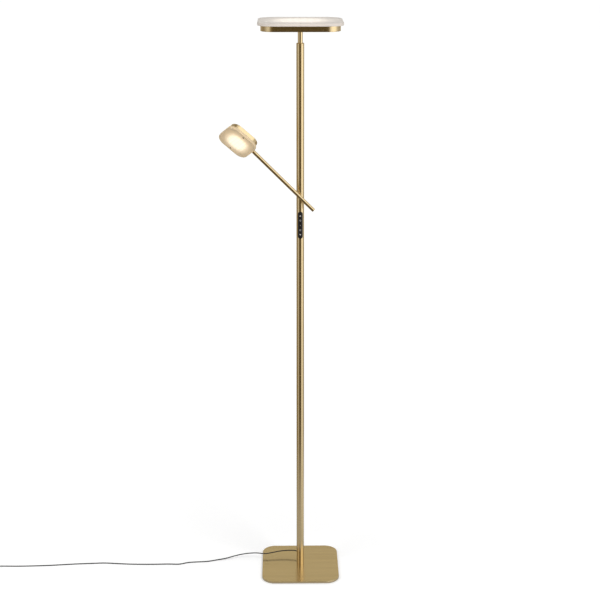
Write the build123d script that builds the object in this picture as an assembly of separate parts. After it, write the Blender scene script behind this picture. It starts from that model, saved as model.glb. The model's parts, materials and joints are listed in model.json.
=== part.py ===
from build123d import *
from dataclasses import dataclass
from math import cos, pi, radians, sin, tan
import os

# Torchiere floor lamp with a reading light, in millimetres.
# The origin is on the floor under the pole's axis. +Z is up the pole, -Y is the front,
# where the buttons and the reading arm are, and the arm leans towards -X at rest.

# Clearances
SEAT_GAP = 0.1          # radial gap of a round piece seated in another
RUN_GAP = 0.05          # radial gap of a shaft that turns in its bore
AIR_GAP = 0.3           # gap between pieces that move past each other

# Base
BASE_SIDE = 260.0
BASE_CORNER = 44.0
BASE_THICKNESS = 6.0
BASE_EDGE_ROUND = 1.0
PAD_THICKNESS = 2.0
PAD_MARGIN = 6.0        # from the plate's edge to the pad's edge
BOLT_RADIUS = 4.0
BOLT_HEAD_RADIUS = 6.5
BOLT_HEAD_HEIGHT = 2.2
WASHER_RADIUS = 9.0
WASHER_THICKNESS = 1.0
RECESS_RADIUS = 10.5
RECESS_DEPTH = 3.5
INSERT_LENGTH = 14.0
BOLT_TIP_MARGIN = 1.5   # the bolt ends this far below the insert's top

# Pole, in three screwed sections
POLE_RADIUS = 12.5
POLE_WALL = 1.2
LOWER_LENGTH = 692.0
MIDDLE_LENGTH = 355.0
UPPER_LENGTH = 726.0
SEAM_CHAMFER = 0.4
JOINER_LENGTH = 60.0
JOINER_WALL = 2.0
CAP_HEIGHT = 6.0
CAP_CHAMFER = 1.5
CAP_SPIGOT_LENGTH = 14.0

# Neck between the pole and the uplight
NECK_RADIUS = 8.0
NECK_WALL = 1.25
NECK_VISIBLE = 43.0
NECK_BURIED = 24.0      # length inside the cap and the pole
NECK_PLUG_LENGTH = 7.0
NIPPLE_RADIUS = 5.0
NIPPLE_BORE = 3.4
NIPPLE_RISE = 6.5       # above the tray's floor
NECK_NUT_RADIUS = 9.0
NECK_NUT_HEIGHT = 4.0

# Uplight head
UPLIGHT_TRAY_SIDE = 245.0
UPLIGHT_TRAY_CORNER = 44.5
UPLIGHT_TRAY_HEIGHT = 17.0
UPLIGHT_OVERHANG = 9.5
UPLIGHT_GLASS_THICKNESS = 9.0
UPLIGHT_SINK_SIDE = 180.0
UPLIGHT_BOARD_SIDE = 150.0
UPLIGHT_LED_ROWS = 6
UPLIGHT_LED_PITCH = 22.0

# Reading head
READING_TRAY_SIDE = 101.0
READING_TRAY_CORNER = 25.0
READING_TRAY_HEIGHT = 15.0
READING_OVERHANG = 4.5
READING_GLASS_THICKNESS = 9.5
READING_SINK_SIDE = 70.0
READING_BOARD_SIDE = 56.0
READING_LED_ROWS = 4
READING_LED_PITCH = 11.0

# Both heads
TRAY_WALL = 1.5
TRAY_EDGE_ROUND = 1.0
GLASS_EDGE_ROUND = 1.5
SINK_HEIGHT = 9.5
SINK_WALL = 2.0
SINK_CORNER = 8.0
BOARD_THICKNESS = 1.6
BOARD_CORNER = 5.0
LEAD_HOLE_RADIUS = 3.0
LED_LENGTH = 3.5
LED_WIDTH = 2.8
LED_HEIGHT = 0.8
BOARD_SCREW_INSET = 6.0
BOARD_SCREW_RADIUS = 1.5
BOARD_SCREW_HEAD_RADIUS = 2.7
BOARD_SCREW_HEAD_HEIGHT = 1.6
GLASS_POST_INSET = 5.0  # from the tray's outer wall to the post's axis
GLASS_POST_RADIUS = 3.0
GLASS_SCREW_RADIUS = 1.3
GLASS_SCREW_HEAD_RADIUS = 2.5
GLASS_SCREW_HEAD_HEIGHT = 2.0
GLASS_SCREW_BITE = 6.0  # length inside the post

# Reading arm
PIVOT_Z = 1303.0
PIVOT_STANDOFF = 5.0    # from the pole's surface to the arm's surface
ARM_RADIUS = 6.0
ARM_WALL = 1.2
ARM_ANGLE = 45.0        # above the horizontal, at rest
ARM_TAIL = 60.0         # from the pivot to the tail's end
HINGE_REACH = 224.0     # from the pivot to the head's hinge pin
TAIL_CAP_THICKNESS = 1.5
TAIL_SPIGOT_LENGTH = 8.0
STUD_RADIUS = 4.0
STUD_BORE = 1.7
STUD_TIP = 1.5          # from the pole's axis to the stud's inner end
SADDLE_RADIUS = 5.0
BACKING_RADIUS = 7.0
BACKING_THICKNESS = 3.0 # from the pole's inner wall to the backing's flat face
SPRING_WASHER_RADIUS = 6.8
SPRING_WASHER_THICKNESS = 1.0
STUD_NUT_FLATS = 13.0
STUD_NUT_HEIGHT = 4.4
LEAD_RADIUS = 1.1
LEAD_BEND = 3.2

# Swivel and tilt joint at the reading head
HEAD_SWIVEL = 42.0      # about the arm, at rest
HEAD_TILT = -5.0        # about the hinge pin, at rest
TILT_LIMIT = 15.0       # either way from square with the arm
HINGE_INSET = 6.5       # from the tray's outer wall to the pin's axis
KNUCKLE_NECK_RADIUS = 3.3
KNUCKLE_NECK_MARGIN = 1.2
KNUCKLE_TAPER = 3.3
KNUCKLE_BARREL = 3.0
KNUCKLE_BORE = 1.5
SPINDLE_RADIUS = 3.5
SPINDLE_LENGTH = 15.0
BUSH_LENGTH = 12.0
CLIP_THICKNESS = 1.0
CLIP_RADIUS = 4.5
CLIP_GROOVE_DEPTH = 0.5
TONGUE_THICKNESS = 5.0
EYE_RADIUS = 4.2
TILT_PIN_RADIUS = 1.5
EAR_THICKNESS = 3.2
EAR_RADIUS = 4.0
HINGE_BLOCK_FLOOR = 0.9
HINGE_BLOCK_LENGTH = 8.0

# Button panel
PANEL_Z = 1209.5
PANEL_LENGTH = 89.0
PANEL_WIDTH = 15.5
PANEL_PROUD = 0.4
PANEL_DEPTH = 4.5       # from the bezel's front to its back
BUTTON_NAMES = ("brighter", "power", "colour", "reading", "dimmer")     # from the top down
BUTTON_PITCH = 15.5
BUTTON_RADIUS = 5.4
BUTTON_PROUD = 0.35     # beyond the bezel's front
BUTTON_SIDE_GAP = 0.2
BUTTON_FLANGE = 0.8     # radial width and thickness of the flange that keeps it in
BUTTON_TRAVEL = 0.6
BUTTON_STEM_RADIUS = 1.8
BEZEL_LIP = 2.5         # thickness of the bezel in front of the flange
BOARD_DEPTH = 3.0       # from the pole's axis to the control board's front
CONTROL_BOARD_THICKNESS = 1.0
CONTROL_BOARD_WIDTH = 13.0
CONTROL_BOARD_LENGTH = 84.0
SWITCH_SIDE = 6.0
SWITCH_HEIGHT = 3.2
PLUNGER_RADIUS = 1.6
PLUNGER_HEIGHT = 0.6
PANEL_SCREW_SPACING = 78.0
PANEL_SCREW_RADIUS = 0.9
PANEL_SCREW_HEAD_RADIUS = 1.8
PANEL_SCREW_HEAD_HEIGHT = 1.0
PANEL_SCREW_LENGTH = 5.0
PANEL_BOSS_RADIUS = 2.6

# Cord, its exit and its adapter
CORD_RADIUS = 1.8
EXIT_Z = 28.5
GROMMET_RADIUS = 4.6
GROMMET_FLANGE = 1.5
GROMMET_NECK_RADIUS = 3.2
GROMMET_TIP_RADIUS = 2.6
GROMMET_REACH = 8.0     # from the pole's surface to the sleeve's tip
GROMMET_INSIDE = 9.4    # from the pole's axis to the grommet's inner end
COIL_MEAN_RADIUS = 21.6
COIL_LAYERS = 3
COIL_COLUMNS = 2
COIL_EDGE_ROUND = 1.5
COIL_LEAD = 9.0         # from the run's end to the coil's centre, along the run
ADAPTER_LENGTH = 66.0
ADAPTER_WIDTH = 36.0
ADAPTER_HEIGHT = 26.0
ADAPTER_COVER_HEIGHT = 6.0
ADAPTER_WALL = 2.0
ADAPTER_CORNER = 5.0
ADAPTER_EDGE_ROUND = 1.5
RELIEF_LENGTH = 20.0
RELIEF_ROOT_RADIUS = 3.6
RELIEF_TIP_RADIUS = 2.5
PIN_RADIUS = 2.0
PIN_ROOT_RADIUS = 2.4   # where the pin passes through the cover
PIN_LENGTH = 19.0
PIN_SPACING = 19.0
PIN_INSET = 14.0        # from the adapter's far end
PIN_FLANGE_RADIUS = 3.5
PIN_FLANGE_THICKNESS = 1.5
SUPPLY_BEND = 8.0
UPLIGHT_LEAD_RADIUS = 1.3
UPLIGHT_LEAD_START = 22.0    # above the panel's middle
UPLIGHT_LEAD_DETOUR = 21.0   # above and below the pivot, where the lead runs beside its parts
UPLIGHT_LEAD_CENTRING = 42.0 # from the detour's end to the pole's axis

# Route of the cord from the grommet's tip to the coil, and from the coil to the adapter
CORD_ROUTE = [
    (0, 20.5, 28.5), (0, 37.5, 28.5), (-14, 55, 27.8), (-38, 58, 27), (-67, 57, 25.6),
    (-96, 49.5, 23), (-124, 42.5, 21.3), (-150, 53, 20.6), (-188, 56, 17), (-226, 52, 10.6),
    (-258, 43.5, 4.6), (-290, 38.5, 1.8), (-322, 26.5, 1.8), (-360, 24.5, 1.8), (-392, 20.5, 1.8),
    (-416, 7.5, 1.8), (-454, 11, 1.8), (-500, 9, 1.8), (-548, 9.5, 1.8), (-594, 11.5, 1.8),
    (-636, 16, 1.8), (-678, 21.5, 1.8), (-724, 18, 1.8), (-776, 15, 1.8), (-826, 9.5, 1.8),
    (-872, 5, 1.8), (-922, 2.5, 1.8), (-972, 1, 1.8), (-1022, 2.5, 1.8), (-1069, 2.5, 1.8),
]
TAIL_ROUTE = [(-1086, 2.5, 9), (-1099, 1.5, 10.6), (-1114, -0.5, 13), (-1128, -0.5, 13)]
BEND_SHARE = 0.45       # of the shorter run that a bend takes up

# Levels and radii that follow from the sizes above
BASE_TOP = PAD_THICKNESS + BASE_THICKNESS
MIDDLE_Z = BASE_TOP + LOWER_LENGTH
UPPER_Z = MIDDLE_Z + MIDDLE_LENGTH
POLE_TOP = UPPER_Z + UPPER_LENGTH
CAP_TOP = POLE_TOP + CAP_HEIGHT
UPLIGHT_Z = CAP_TOP + NECK_VISIBLE
POLE_BORE = POLE_RADIUS - POLE_WALL
INSERT_TOP = BASE_TOP + INSERT_LENGTH
ARM_BORE = ARM_RADIUS - ARM_WALL
ARM_OFFSET = POLE_RADIUS + PIVOT_STANDOFF + ARM_RADIUS
BEZEL_FRONT = POLE_RADIUS + PANEL_PROUD
BEZEL_BACK = BEZEL_FRONT - PANEL_DEPTH
NECK_MARGIN = HINGE_INSET + READING_OVERHANG + KNUCKLE_NECK_MARGIN
BARREL_START = NECK_MARGIN + KNUCKLE_TAPER
BARREL_END = BARREL_START + KNUCKLE_BARREL
ARM_END = HINGE_REACH - BARREL_END - AIR_GAP
HINGE_WIDTH = TONGUE_THICKNESS + 2 * (AIR_GAP + EAR_THICKNESS)
CLIP_START = BARREL_END + AIR_GAP + BUSH_LENGTH + SEAT_GAP
STEP_CLEAR = EAR_RADIUS + AIR_GAP + KNUCKLE_NECK_RADIUS * sin(radians(TILT_LIMIT))
NECK_STEP = STEP_CLEAR / cos(radians(TILT_LIMIT))      # from the pin to the neck's step
COIL_OUTER_TURN = COIL_MEAN_RADIUS + (COIL_COLUMNS - 1) * CORD_RADIUS
COIL_CENTRE = (CORD_ROUTE[-1][0] - COIL_LEAD, CORD_ROUTE[-1][1] + COIL_OUTER_TURN)

# Places of the groups
FRONT_PIVOT = Pos(0, 0, PIVOT_Z) * Rot(90, 0, 0)      # local +Z points out of the front
FRONT_PANEL = Pos(0, 0, PANEL_Z) * Rot(90, 0, 0)
BACK_EXIT = Pos(0, 0, EXIT_Z) * Rot(-90, 0, 0)        # local +Z points out of the back
ARM_PLACE = Pos(0, -ARM_OFFSET, PIVOT_Z) * Rot(0, 180 + ARM_ANGLE, 0)   # local +X to the head
KNUCKLE_PLACE = ARM_PLACE * Pos(HINGE_REACH, 0, 0) * Rot(HEAD_SWIVEL, 0, 0)
TILT_PLACE = KNUCKLE_PLACE * Rot(0, HEAD_TILT, 0)
READING_PLACE = TILT_PLACE * Pos(READING_TRAY_SIDE / 2 - HINGE_INSET, 0, -READING_TRAY_HEIGHT / 2)

FROM_BOTTOM = (Align.CENTER, Align.CENTER, Align.MIN)


def rod(radius, start, end):
    """A round rod along local Z from start to end."""
    return Pos(0, 0, start) * Cylinder(radius, end - start, align=FROM_BOTTOM)


def pipe(radius, bore, start, end):
    """A round pipe along local Z from start to end."""
    return rod(radius, start, end) - rod(bore, start, end)


def rod_x(radius, start, end):
    """A round rod along local X from start to end."""
    return Rot(0, 90, 0) * rod(radius, start, end)


def pipe_x(radius, bore, start, end):
    """A round pipe along local X from start to end."""
    return rod_x(radius, start, end) - rod_x(bore, start, end)


def slab(side, corner, thickness, start=0.0):
    """A square plate with round corners that stands on the height start."""
    return Pos(0, 0, start) * extrude(RectangleRounded(side, side, corner), thickness)


def outer_edges(solid, face_side):
    """The edges of a solid's highest or lowest flat face along Z, face_side being -1 or 0."""
    return solid.faces().sort_by(Axis.Z)[face_side].outer_wire().edges()


def pole_section(start, end):
    """One pole tube, its two rims chamfered so that a seam shows as a fine line."""
    tube = pipe(POLE_RADIUS, POLE_BORE, start, end)
    circles = tube.edges().filter_by(GeomType.CIRCLE)
    rims = circles.filter_by(lambda edge: edge.radius > POLE_BORE + POLE_WALL / 2)
    return chamfer(rims, SEAM_CHAMFER)


def route_radii(points):
    """The largest tangent arcs that a cord's straight runs leave room for."""
    radii = []
    for before, corner, after in zip(points, points[1:], points[2:]):
        arriving = Vector(*corner) - Vector(*before)
        leaving = Vector(*after) - Vector(*corner)
        half_turn = radians(arriving.get_angle(leaving)) / 2
        radii.append(BEND_SHARE * min(arriving.length, leaving.length) / tan(half_turn))
    return radii


def cord_tube(points, radius, radii=None):
    """A round cord along straight runs joined by tangent arcs."""
    path = FilletPolyline(*points, radius=radii or route_radii(points))
    return sweep(Plane(origin=path @ 0, z_dir=path % 0) * Circle(radius), path=path), path.length


# ---------------------------------------------------------------- base and pole

def base_plate():
    plate = slab(BASE_SIDE, BASE_CORNER, BASE_THICKNESS, PAD_THICKNESS)
    plate = fillet(outer_edges(plate, -1), BASE_EDGE_ROUND)
    plate -= rod(RECESS_RADIUS, PAD_THICKNESS, PAD_THICKNESS + RECESS_DEPTH)
    return plate - rod(BOLT_RADIUS + SEAT_GAP, PAD_THICKNESS, BASE_TOP)


def base_pad():
    return slab(BASE_SIDE - 2 * PAD_MARGIN, BASE_CORNER - PAD_MARGIN, PAD_THICKNESS)


def base_fasteners():
    """The bolt and washer that pull the pole's foot insert down on to the plate."""
    seat = PAD_THICKNESS + RECESS_DEPTH
    head_top = seat - WASHER_THICKNESS
    washer = pipe(WASHER_RADIUS, BOLT_RADIUS + SEAT_GAP, head_top, seat)
    bolt = rod(BOLT_HEAD_RADIUS, head_top - BOLT_HEAD_HEIGHT, head_top)
    bolt += rod(BOLT_RADIUS, head_top, INSERT_TOP - BOLT_TIP_MARGIN)
    insert = pipe(POLE_BORE - SEAT_GAP, BOLT_RADIUS + SEAT_GAP, BASE_TOP, INSERT_TOP)
    return {"base_bolt": bolt, "base_washer": washer, "pole_foot_insert": insert}


def poles():
    lower = pole_section(BASE_TOP, MIDDLE_Z)
    lower -= BACK_EXIT * rod(GROMMET_NECK_RADIUS + SEAT_GAP, 0, POLE_RADIUS)
    upper = pole_section(UPPER_Z, POLE_TOP)
    upper -= FRONT_PIVOT * rod(STUD_RADIUS + AIR_GAP, 0, POLE_RADIUS)
    upper -= FRONT_PANEL * panel_block(SEAT_GAP, 0, POLE_RADIUS)
    return {"lower_pole": lower, "middle_pole": pole_section(MIDDLE_Z, UPPER_Z), "upper_pole": upper}


def pole_joiners():
    """The two threaded sleeves inside the pole's seams."""
    outer = POLE_BORE - SEAT_GAP
    half = JOINER_LENGTH / 2
    return [pipe(outer, outer - JOINER_WALL, seam - half, seam + half) for seam in (MIDDLE_Z, UPPER_Z)]


def pole_top_cap():
    cap = chamfer(outer_edges(rod(POLE_RADIUS, POLE_TOP, CAP_TOP), -1), CAP_CHAMFER)
    cap += rod(POLE_BORE - SEAT_GAP, POLE_TOP - CAP_SPIGOT_LENGTH, POLE_TOP)
    return cap - rod(NECK_RADIUS + SEAT_GAP, POLE_TOP - CAP_SPIGOT_LENGTH, CAP_TOP)


def neck():
    """The neck tube, its plugged top and the threaded nipple and nut that hold the uplight's tray."""
    tube = rod(NECK_RADIUS, CAP_TOP - NECK_BURIED, UPLIGHT_Z)
    tube -= rod(NECK_RADIUS - NECK_WALL, CAP_TOP - NECK_BURIED, UPLIGHT_Z - NECK_PLUG_LENGTH)
    tube -= rod(NIPPLE_RADIUS + SEAT_GAP, UPLIGHT_Z - NECK_PLUG_LENGTH, UPLIGHT_Z)
    floor = UPLIGHT_Z + TRAY_WALL
    nipple = pipe(NIPPLE_RADIUS, NIPPLE_BORE, UPLIGHT_Z - NECK_PLUG_LENGTH, floor + NIPPLE_RISE)
    nut = extrude(RegularPolygon(NECK_NUT_RADIUS, 6), NECK_NUT_HEIGHT)
    nut = Pos(0, 0, floor) * nut - rod(NIPPLE_RADIUS + SEAT_GAP, floor, floor + NECK_NUT_HEIGHT)
    return {"neck_tube": tube, "neck_nipple": nipple, "neck_nut": nut}


# ---------------------------------------------------------------- light heads

@dataclass
class Head:
    """Sizes in which the two light heads differ."""
    tray_side: float
    tray_corner: float
    tray_height: float
    overhang: float
    glass_thickness: float
    sink_side: float
    board_side: float
    led_rows: int
    led_pitch: float

    @property
    def sink_top(self):
        return TRAY_WALL + SINK_HEIGHT

    @property
    def board_top(self):
        return self.sink_top + BOARD_THICKNESS

    def board_screw_places(self):
        reach = self.board_side / 2 - BOARD_SCREW_INSET
        return [(x, y) for x in (-reach, reach) for y in (-reach, reach)]

    def glass_screw_places(self):
        reach = self.tray_side / 2 - GLASS_POST_INSET
        return [(0, -reach), (0, reach)]


def at(places, solid):
    """Copies of a solid, one at each place on the plan."""
    return [Pos(x, y, 0) * solid for x, y in places]


def head_tray(head):
    tray = slab(head.tray_side, head.tray_corner, head.tray_height)
    tray = fillet(outer_edges(tray, 0), TRAY_EDGE_ROUND)
    inside = head.tray_side - 2 * TRAY_WALL
    return tray - slab(inside, head.tray_corner - TRAY_WALL, head.tray_height, TRAY_WALL)


def head_sink(head):
    """A pressed heat sink, open underneath, that carries the board."""
    sink = slab(head.sink_side, SINK_CORNER, SINK_HEIGHT, TRAY_WALL)
    inside = head.sink_side - 2 * SINK_WALL
    sink -= slab(inside, SINK_CORNER - SINK_WALL, SINK_HEIGHT - SINK_WALL, TRAY_WALL)
    sink -= rod(LEAD_HOLE_RADIUS, TRAY_WALL, head.sink_top)
    hole = rod(BOARD_SCREW_RADIUS + SEAT_GAP, TRAY_WALL, head.sink_top)
    for one in at(head.board_screw_places(), hole):
        sink -= one
    return sink


def head_board(head):
    board = slab(head.board_side, BOARD_CORNER, BOARD_THICKNESS, head.sink_top)
    board -= rod(LEAD_HOLE_RADIUS, head.sink_top, head.board_top)
    hole = rod(BOARD_SCREW_RADIUS + SEAT_GAP, head.sink_top, head.board_top)
    for one in at(head.board_screw_places(), hole):
        board -= one
    return board


def head_leds(head):
    first = -(head.led_rows - 1) / 2 * head.led_pitch
    steps = [first + i * head.led_pitch for i in range(head.led_rows)]
    led = Pos(0, 0, head.board_top) * Box(LED_LENGTH, LED_WIDTH, LED_HEIGHT, align=FROM_BOTTOM)
    return at([(x, y) for x in steps for y in steps], led)


def head_board_screws(head):
    screw = rod(BOARD_SCREW_HEAD_RADIUS, head.board_top, head.board_top + BOARD_SCREW_HEAD_HEIGHT)
    screw += rod(BOARD_SCREW_RADIUS, head.sink_top - 2 * SINK_WALL, head.board_top)
    return at(head.board_screw_places(), screw)


def head_glass(head):
    side = head.tray_side + 2 * head.overhang
    glass = slab(side, head.tray_corner + head.overhang, head.glass_thickness, head.tray_height)
    glass = fillet([*outer_edges(glass, -1), *outer_edges(glass, 0)], GLASS_EDGE_ROUND)
    front = head.tray_height + head.glass_thickness
    hole = rod(GLASS_SCREW_RADIUS + SEAT_GAP, head.tray_height, front)
    hole += rod(GLASS_SCREW_HEAD_RADIUS + SEAT_GAP, front - GLASS_SCREW_HEAD_HEIGHT, front)
    for one in at(head.glass_screw_places(), hole):
        glass -= one
    return glass


def head_glass_posts(head):
    post = rod(GLASS_POST_RADIUS, TRAY_WALL, head.tray_height)
    bite = head.tray_height - GLASS_SCREW_BITE - SEAT_GAP
    post -= rod(GLASS_SCREW_RADIUS + SEAT_GAP, bite, head.tray_height)
    return at(head.glass_screw_places(), post)


def head_glass_screws(head):
    front = head.tray_height + head.glass_thickness
    seat = front - GLASS_SCREW_HEAD_HEIGHT
    screw = rod(GLASS_SCREW_HEAD_RADIUS, seat, front)
    screw += rod(GLASS_SCREW_RADIUS, head.tray_height - GLASS_SCREW_BITE, seat)
    return at(head.glass_screw_places(), screw)


def light_head(name, head):
    """All pieces of one head, its tray's floor centred on the origin and its glass towards +Z."""
    return {
        f"{name}_tray": head_tray(head),
        f"{name}_heat_sink": head_sink(head),
        f"{name}_led_board": head_board(head),
        f"{name}_leds": head_leds(head),
        f"{name}_board_screws": head_board_screws(head),
        f"{name}_glass": head_glass(head),
        f"{name}_glass_posts": head_glass_posts(head),
        f"{name}_glass_screws": head_glass_screws(head),
    }


def uplight():
    head = Head(UPLIGHT_TRAY_SIDE, UPLIGHT_TRAY_CORNER, UPLIGHT_TRAY_HEIGHT, UPLIGHT_OVERHANG,
                UPLIGHT_GLASS_THICKNESS, UPLIGHT_SINK_SIDE, UPLIGHT_BOARD_SIDE,
                UPLIGHT_LED_ROWS, UPLIGHT_LED_PITCH)
    pieces = light_head("uplight", head)
    pieces["uplight_tray"] -= rod(NIPPLE_RADIUS + SEAT_GAP, 0, TRAY_WALL)
    return placed(pieces, Pos(0, 0, UPLIGHT_Z))


def reading_head():
    head = Head(READING_TRAY_SIDE, READING_TRAY_CORNER, READING_TRAY_HEIGHT, READING_OVERHANG,
                READING_GLASS_THICKNESS, READING_SINK_SIDE, READING_BOARD_SIDE,
                READING_LED_ROWS, READING_LED_PITCH)
    pieces = placed(light_head("reading", head), READING_PLACE)
    pieces["reading_tray"] -= TILT_PLACE * tilt_slot()
    return pieces


def placed(pieces, place):
    """The same named pieces at another place."""
    return {
        name: [place * one for one in piece] if isinstance(piece, list) else place * piece
        for name, piece in pieces.items()
    }


# ---------------------------------------------------------------- swivel and tilt joint

def tilt_slot():
    """The slot in the tray's wall, as high as the tilting neck needs."""
    wall_middle = -(HINGE_INSET - TRAY_WALL / 2)
    limit = radians(TILT_LIMIT)
    swing = HINGE_INSET * tan(limit) + KNUCKLE_NECK_RADIUS / cos(limit)
    height = 2 * (swing + AIR_GAP)
    width = 2 * (KNUCKLE_NECK_RADIUS + AIR_GAP)
    return Pos(wall_middle, 0, 0) * Box(2 * TRAY_WALL, width, height)


def head_knuckle():
    """Spindle, tapered barrel, neck and flat eye, along local X with the hinge pin at the origin."""
    spindle_end = BARREL_END + SPINDLE_LENGTH
    knuckle = rod_x(ARM_RADIUS, -BARREL_END, -BARREL_START)
    taper = Cone(ARM_RADIUS, KNUCKLE_NECK_RADIUS, KNUCKLE_TAPER, align=FROM_BOTTOM)
    knuckle += Pos(-BARREL_START, 0, 0) * Rot(0, 90, 0) * taper
    knuckle += rod_x(KNUCKLE_NECK_RADIUS, -NECK_MARGIN, -NECK_STEP)
    knuckle += rod_x(SPINDLE_RADIUS, -spindle_end, -BARREL_END)
    eye = across_tongue(EYE_RADIUS, TONGUE_THICKNESS)
    bridge = Pos(-NECK_STEP / 2, 0, 0) * Box(NECK_STEP, TONGUE_THICKNESS, 2 * KNUCKLE_NECK_RADIUS)
    knuckle += eye + (bridge & rod_x(KNUCKLE_NECK_RADIUS, -NECK_STEP, 0))
    knuckle -= across_tongue(TILT_PIN_RADIUS + RUN_GAP, 2 * TONGUE_THICKNESS)
    knuckle -= rod_x(KNUCKLE_BORE, -spindle_end, -NECK_STEP - KNUCKLE_NECK_RADIUS)
    groove_end = -CLIP_START - CLIP_THICKNESS - SEAT_GAP
    groove_root = SPINDLE_RADIUS - CLIP_GROOVE_DEPTH
    knuckle -= pipe_x(2 * SPINDLE_RADIUS, groove_root, groove_end, -CLIP_START + SEAT_GAP)
    return KNUCKLE_PLACE * knuckle


def knuckle_clip():
    bore = SPINDLE_RADIUS - CLIP_GROOVE_DEPTH + SEAT_GAP
    ring = pipe_x(CLIP_RADIUS, bore, -CLIP_START - CLIP_THICKNESS, -CLIP_START)
    mouth = Box(2 * CLIP_THICKNESS, SPINDLE_RADIUS, 2 * CLIP_RADIUS)
    middle = Pos(-CLIP_START - CLIP_THICKNESS / 2, 0, CLIP_RADIUS)
    return KNUCKLE_PLACE * (ring - middle * mouth)


def across_tongue(radius, width):
    """A round bar along the hinge pin's axis."""
    return Rot(90, 0, 0) * Cylinder(radius, width)


def tilt_pin():
    return TILT_PLACE * across_tongue(TILT_PIN_RADIUS, HINGE_WIDTH)


def reading_hinge_block():
    """Two ears on a foot that stands on the tray's floor and holds the pin."""
    floor = -READING_TRAY_HEIGHT / 2 + TRAY_WALL
    start = -(HINGE_INSET - TRAY_WALL - AIR_GAP)
    foot = Box(HINGE_BLOCK_LENGTH, HINGE_WIDTH, HINGE_BLOCK_FLOOR, align=FROM_BOTTOM)
    ears = across_tongue(EAR_RADIUS, HINGE_WIDTH)
    ears += Pos(0, 0, floor) * Box(2 * EAR_RADIUS, HINGE_WIDTH, -floor, align=FROM_BOTTOM)
    ears -= Box(4 * EAR_RADIUS, TONGUE_THICKNESS + 2 * AIR_GAP, 4 * EAR_RADIUS)
    block = Pos(start + HINGE_BLOCK_LENGTH / 2, 0, floor) * foot + ears
    return TILT_PLACE * (block - across_tongue(TILT_PIN_RADIUS, 2 * HINGE_WIDTH))


# ---------------------------------------------------------------- reading arm

def arm_tube():
    tube = pipe_x(ARM_RADIUS, ARM_BORE, -ARM_TAIL + TAIL_CAP_THICKNESS, ARM_END)
    return ARM_PLACE * tube - FRONT_PIVOT * rod(STUD_RADIUS, 0, ARM_OFFSET)


def arm_tail_cap():
    disc_end = -ARM_TAIL + TAIL_CAP_THICKNESS
    cap = rod_x(ARM_RADIUS, -ARM_TAIL, disc_end)
    return ARM_PLACE * (cap + rod_x(ARM_BORE - SEAT_GAP, disc_end, disc_end + TAIL_SPIGOT_LENGTH))


def arm_end_bush():
    return ARM_PLACE * pipe_x(ARM_BORE - SEAT_GAP, SPINDLE_RADIUS + RUN_GAP, ARM_END - BUSH_LENGTH, ARM_END)


def pivot():
    """The hollow stud that carries the arm, its outer saddle and, inside the pole, what clamps it."""
    flat = POLE_BORE - BACKING_THICKNESS
    saddle = pipe(SADDLE_RADIUS, STUD_RADIUS + RUN_GAP, 0, POLE_RADIUS + PIVOT_STANDOFF - AIR_GAP)
    backing = pipe(BACKING_RADIUS, STUD_RADIUS + RUN_GAP, flat, POLE_RADIUS)
    washer_front = flat - RUN_GAP
    nut_front = washer_front - SPRING_WASHER_THICKNESS
    washer = pipe(SPRING_WASHER_RADIUS, STUD_RADIUS + SEAT_GAP, nut_front, washer_front)
    nut = extrude(RegularPolygon(STUD_NUT_FLATS / 2, 6, major_radius=False), STUD_NUT_HEIGHT)
    nut = Pos(0, 0, nut_front - STUD_NUT_HEIGHT) * nut
    nut -= rod(STUD_RADIUS + SEAT_GAP, nut_front - STUD_NUT_HEIGHT, nut_front)
    stud = pipe(STUD_RADIUS, STUD_BORE, STUD_TIP, ARM_OFFSET - ARM_BORE)
    bottom, top = PIVOT_Z - 2 * BACKING_RADIUS, PIVOT_Z + 2 * BACKING_RADIUS
    return {
        "pivot_saddle": FRONT_PIVOT * saddle - rod(POLE_RADIUS, bottom, top),
        "pivot_backing": FRONT_PIVOT * backing & rod(POLE_BORE, bottom, top),
        "pivot_washer": FRONT_PIVOT * washer,
        "pivot_nut": FRONT_PIVOT * nut,
        "pivot_stud": FRONT_PIVOT * stud,
    }


def reading_lead():
    """The head's lead, in through the hollow stud and along the arm into the knuckle's spindle."""
    spindle_end = HINGE_REACH - BARREL_END - SPINDLE_LENGTH
    far_end = ARM_PLACE * Pos(spindle_end + SPINDLE_RADIUS, 0, 0)
    points = [(0, -STUD_TIP, PIVOT_Z), (0, -ARM_OFFSET, PIVOT_Z), tuple(far_end.position)]
    return cord_tube(points, LEAD_RADIUS, [LEAD_BEND])[0]


# ---------------------------------------------------------------- button panel

def panel_block(margin, start, end):
    """The panel's upright outline with round ends, as a block from start to end along local Z."""
    outline = SlotOverall(PANEL_LENGTH + 2 * margin, PANEL_WIDTH + 2 * margin, rotation=90)
    return Pos(0, 0, start) * extrude(outline, end - start)


def button_places():
    top = (len(BUTTON_NAMES) - 1) / 2
    return [(0, (top - i) * BUTTON_PITCH) for i in range(len(BUTTON_NAMES))]


def front_skin(radius):
    """A round bar about the pole's axis that gives the panel its curved front."""
    return rod(radius, PANEL_Z - PANEL_LENGTH, PANEL_Z + PANEL_LENGTH)


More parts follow.
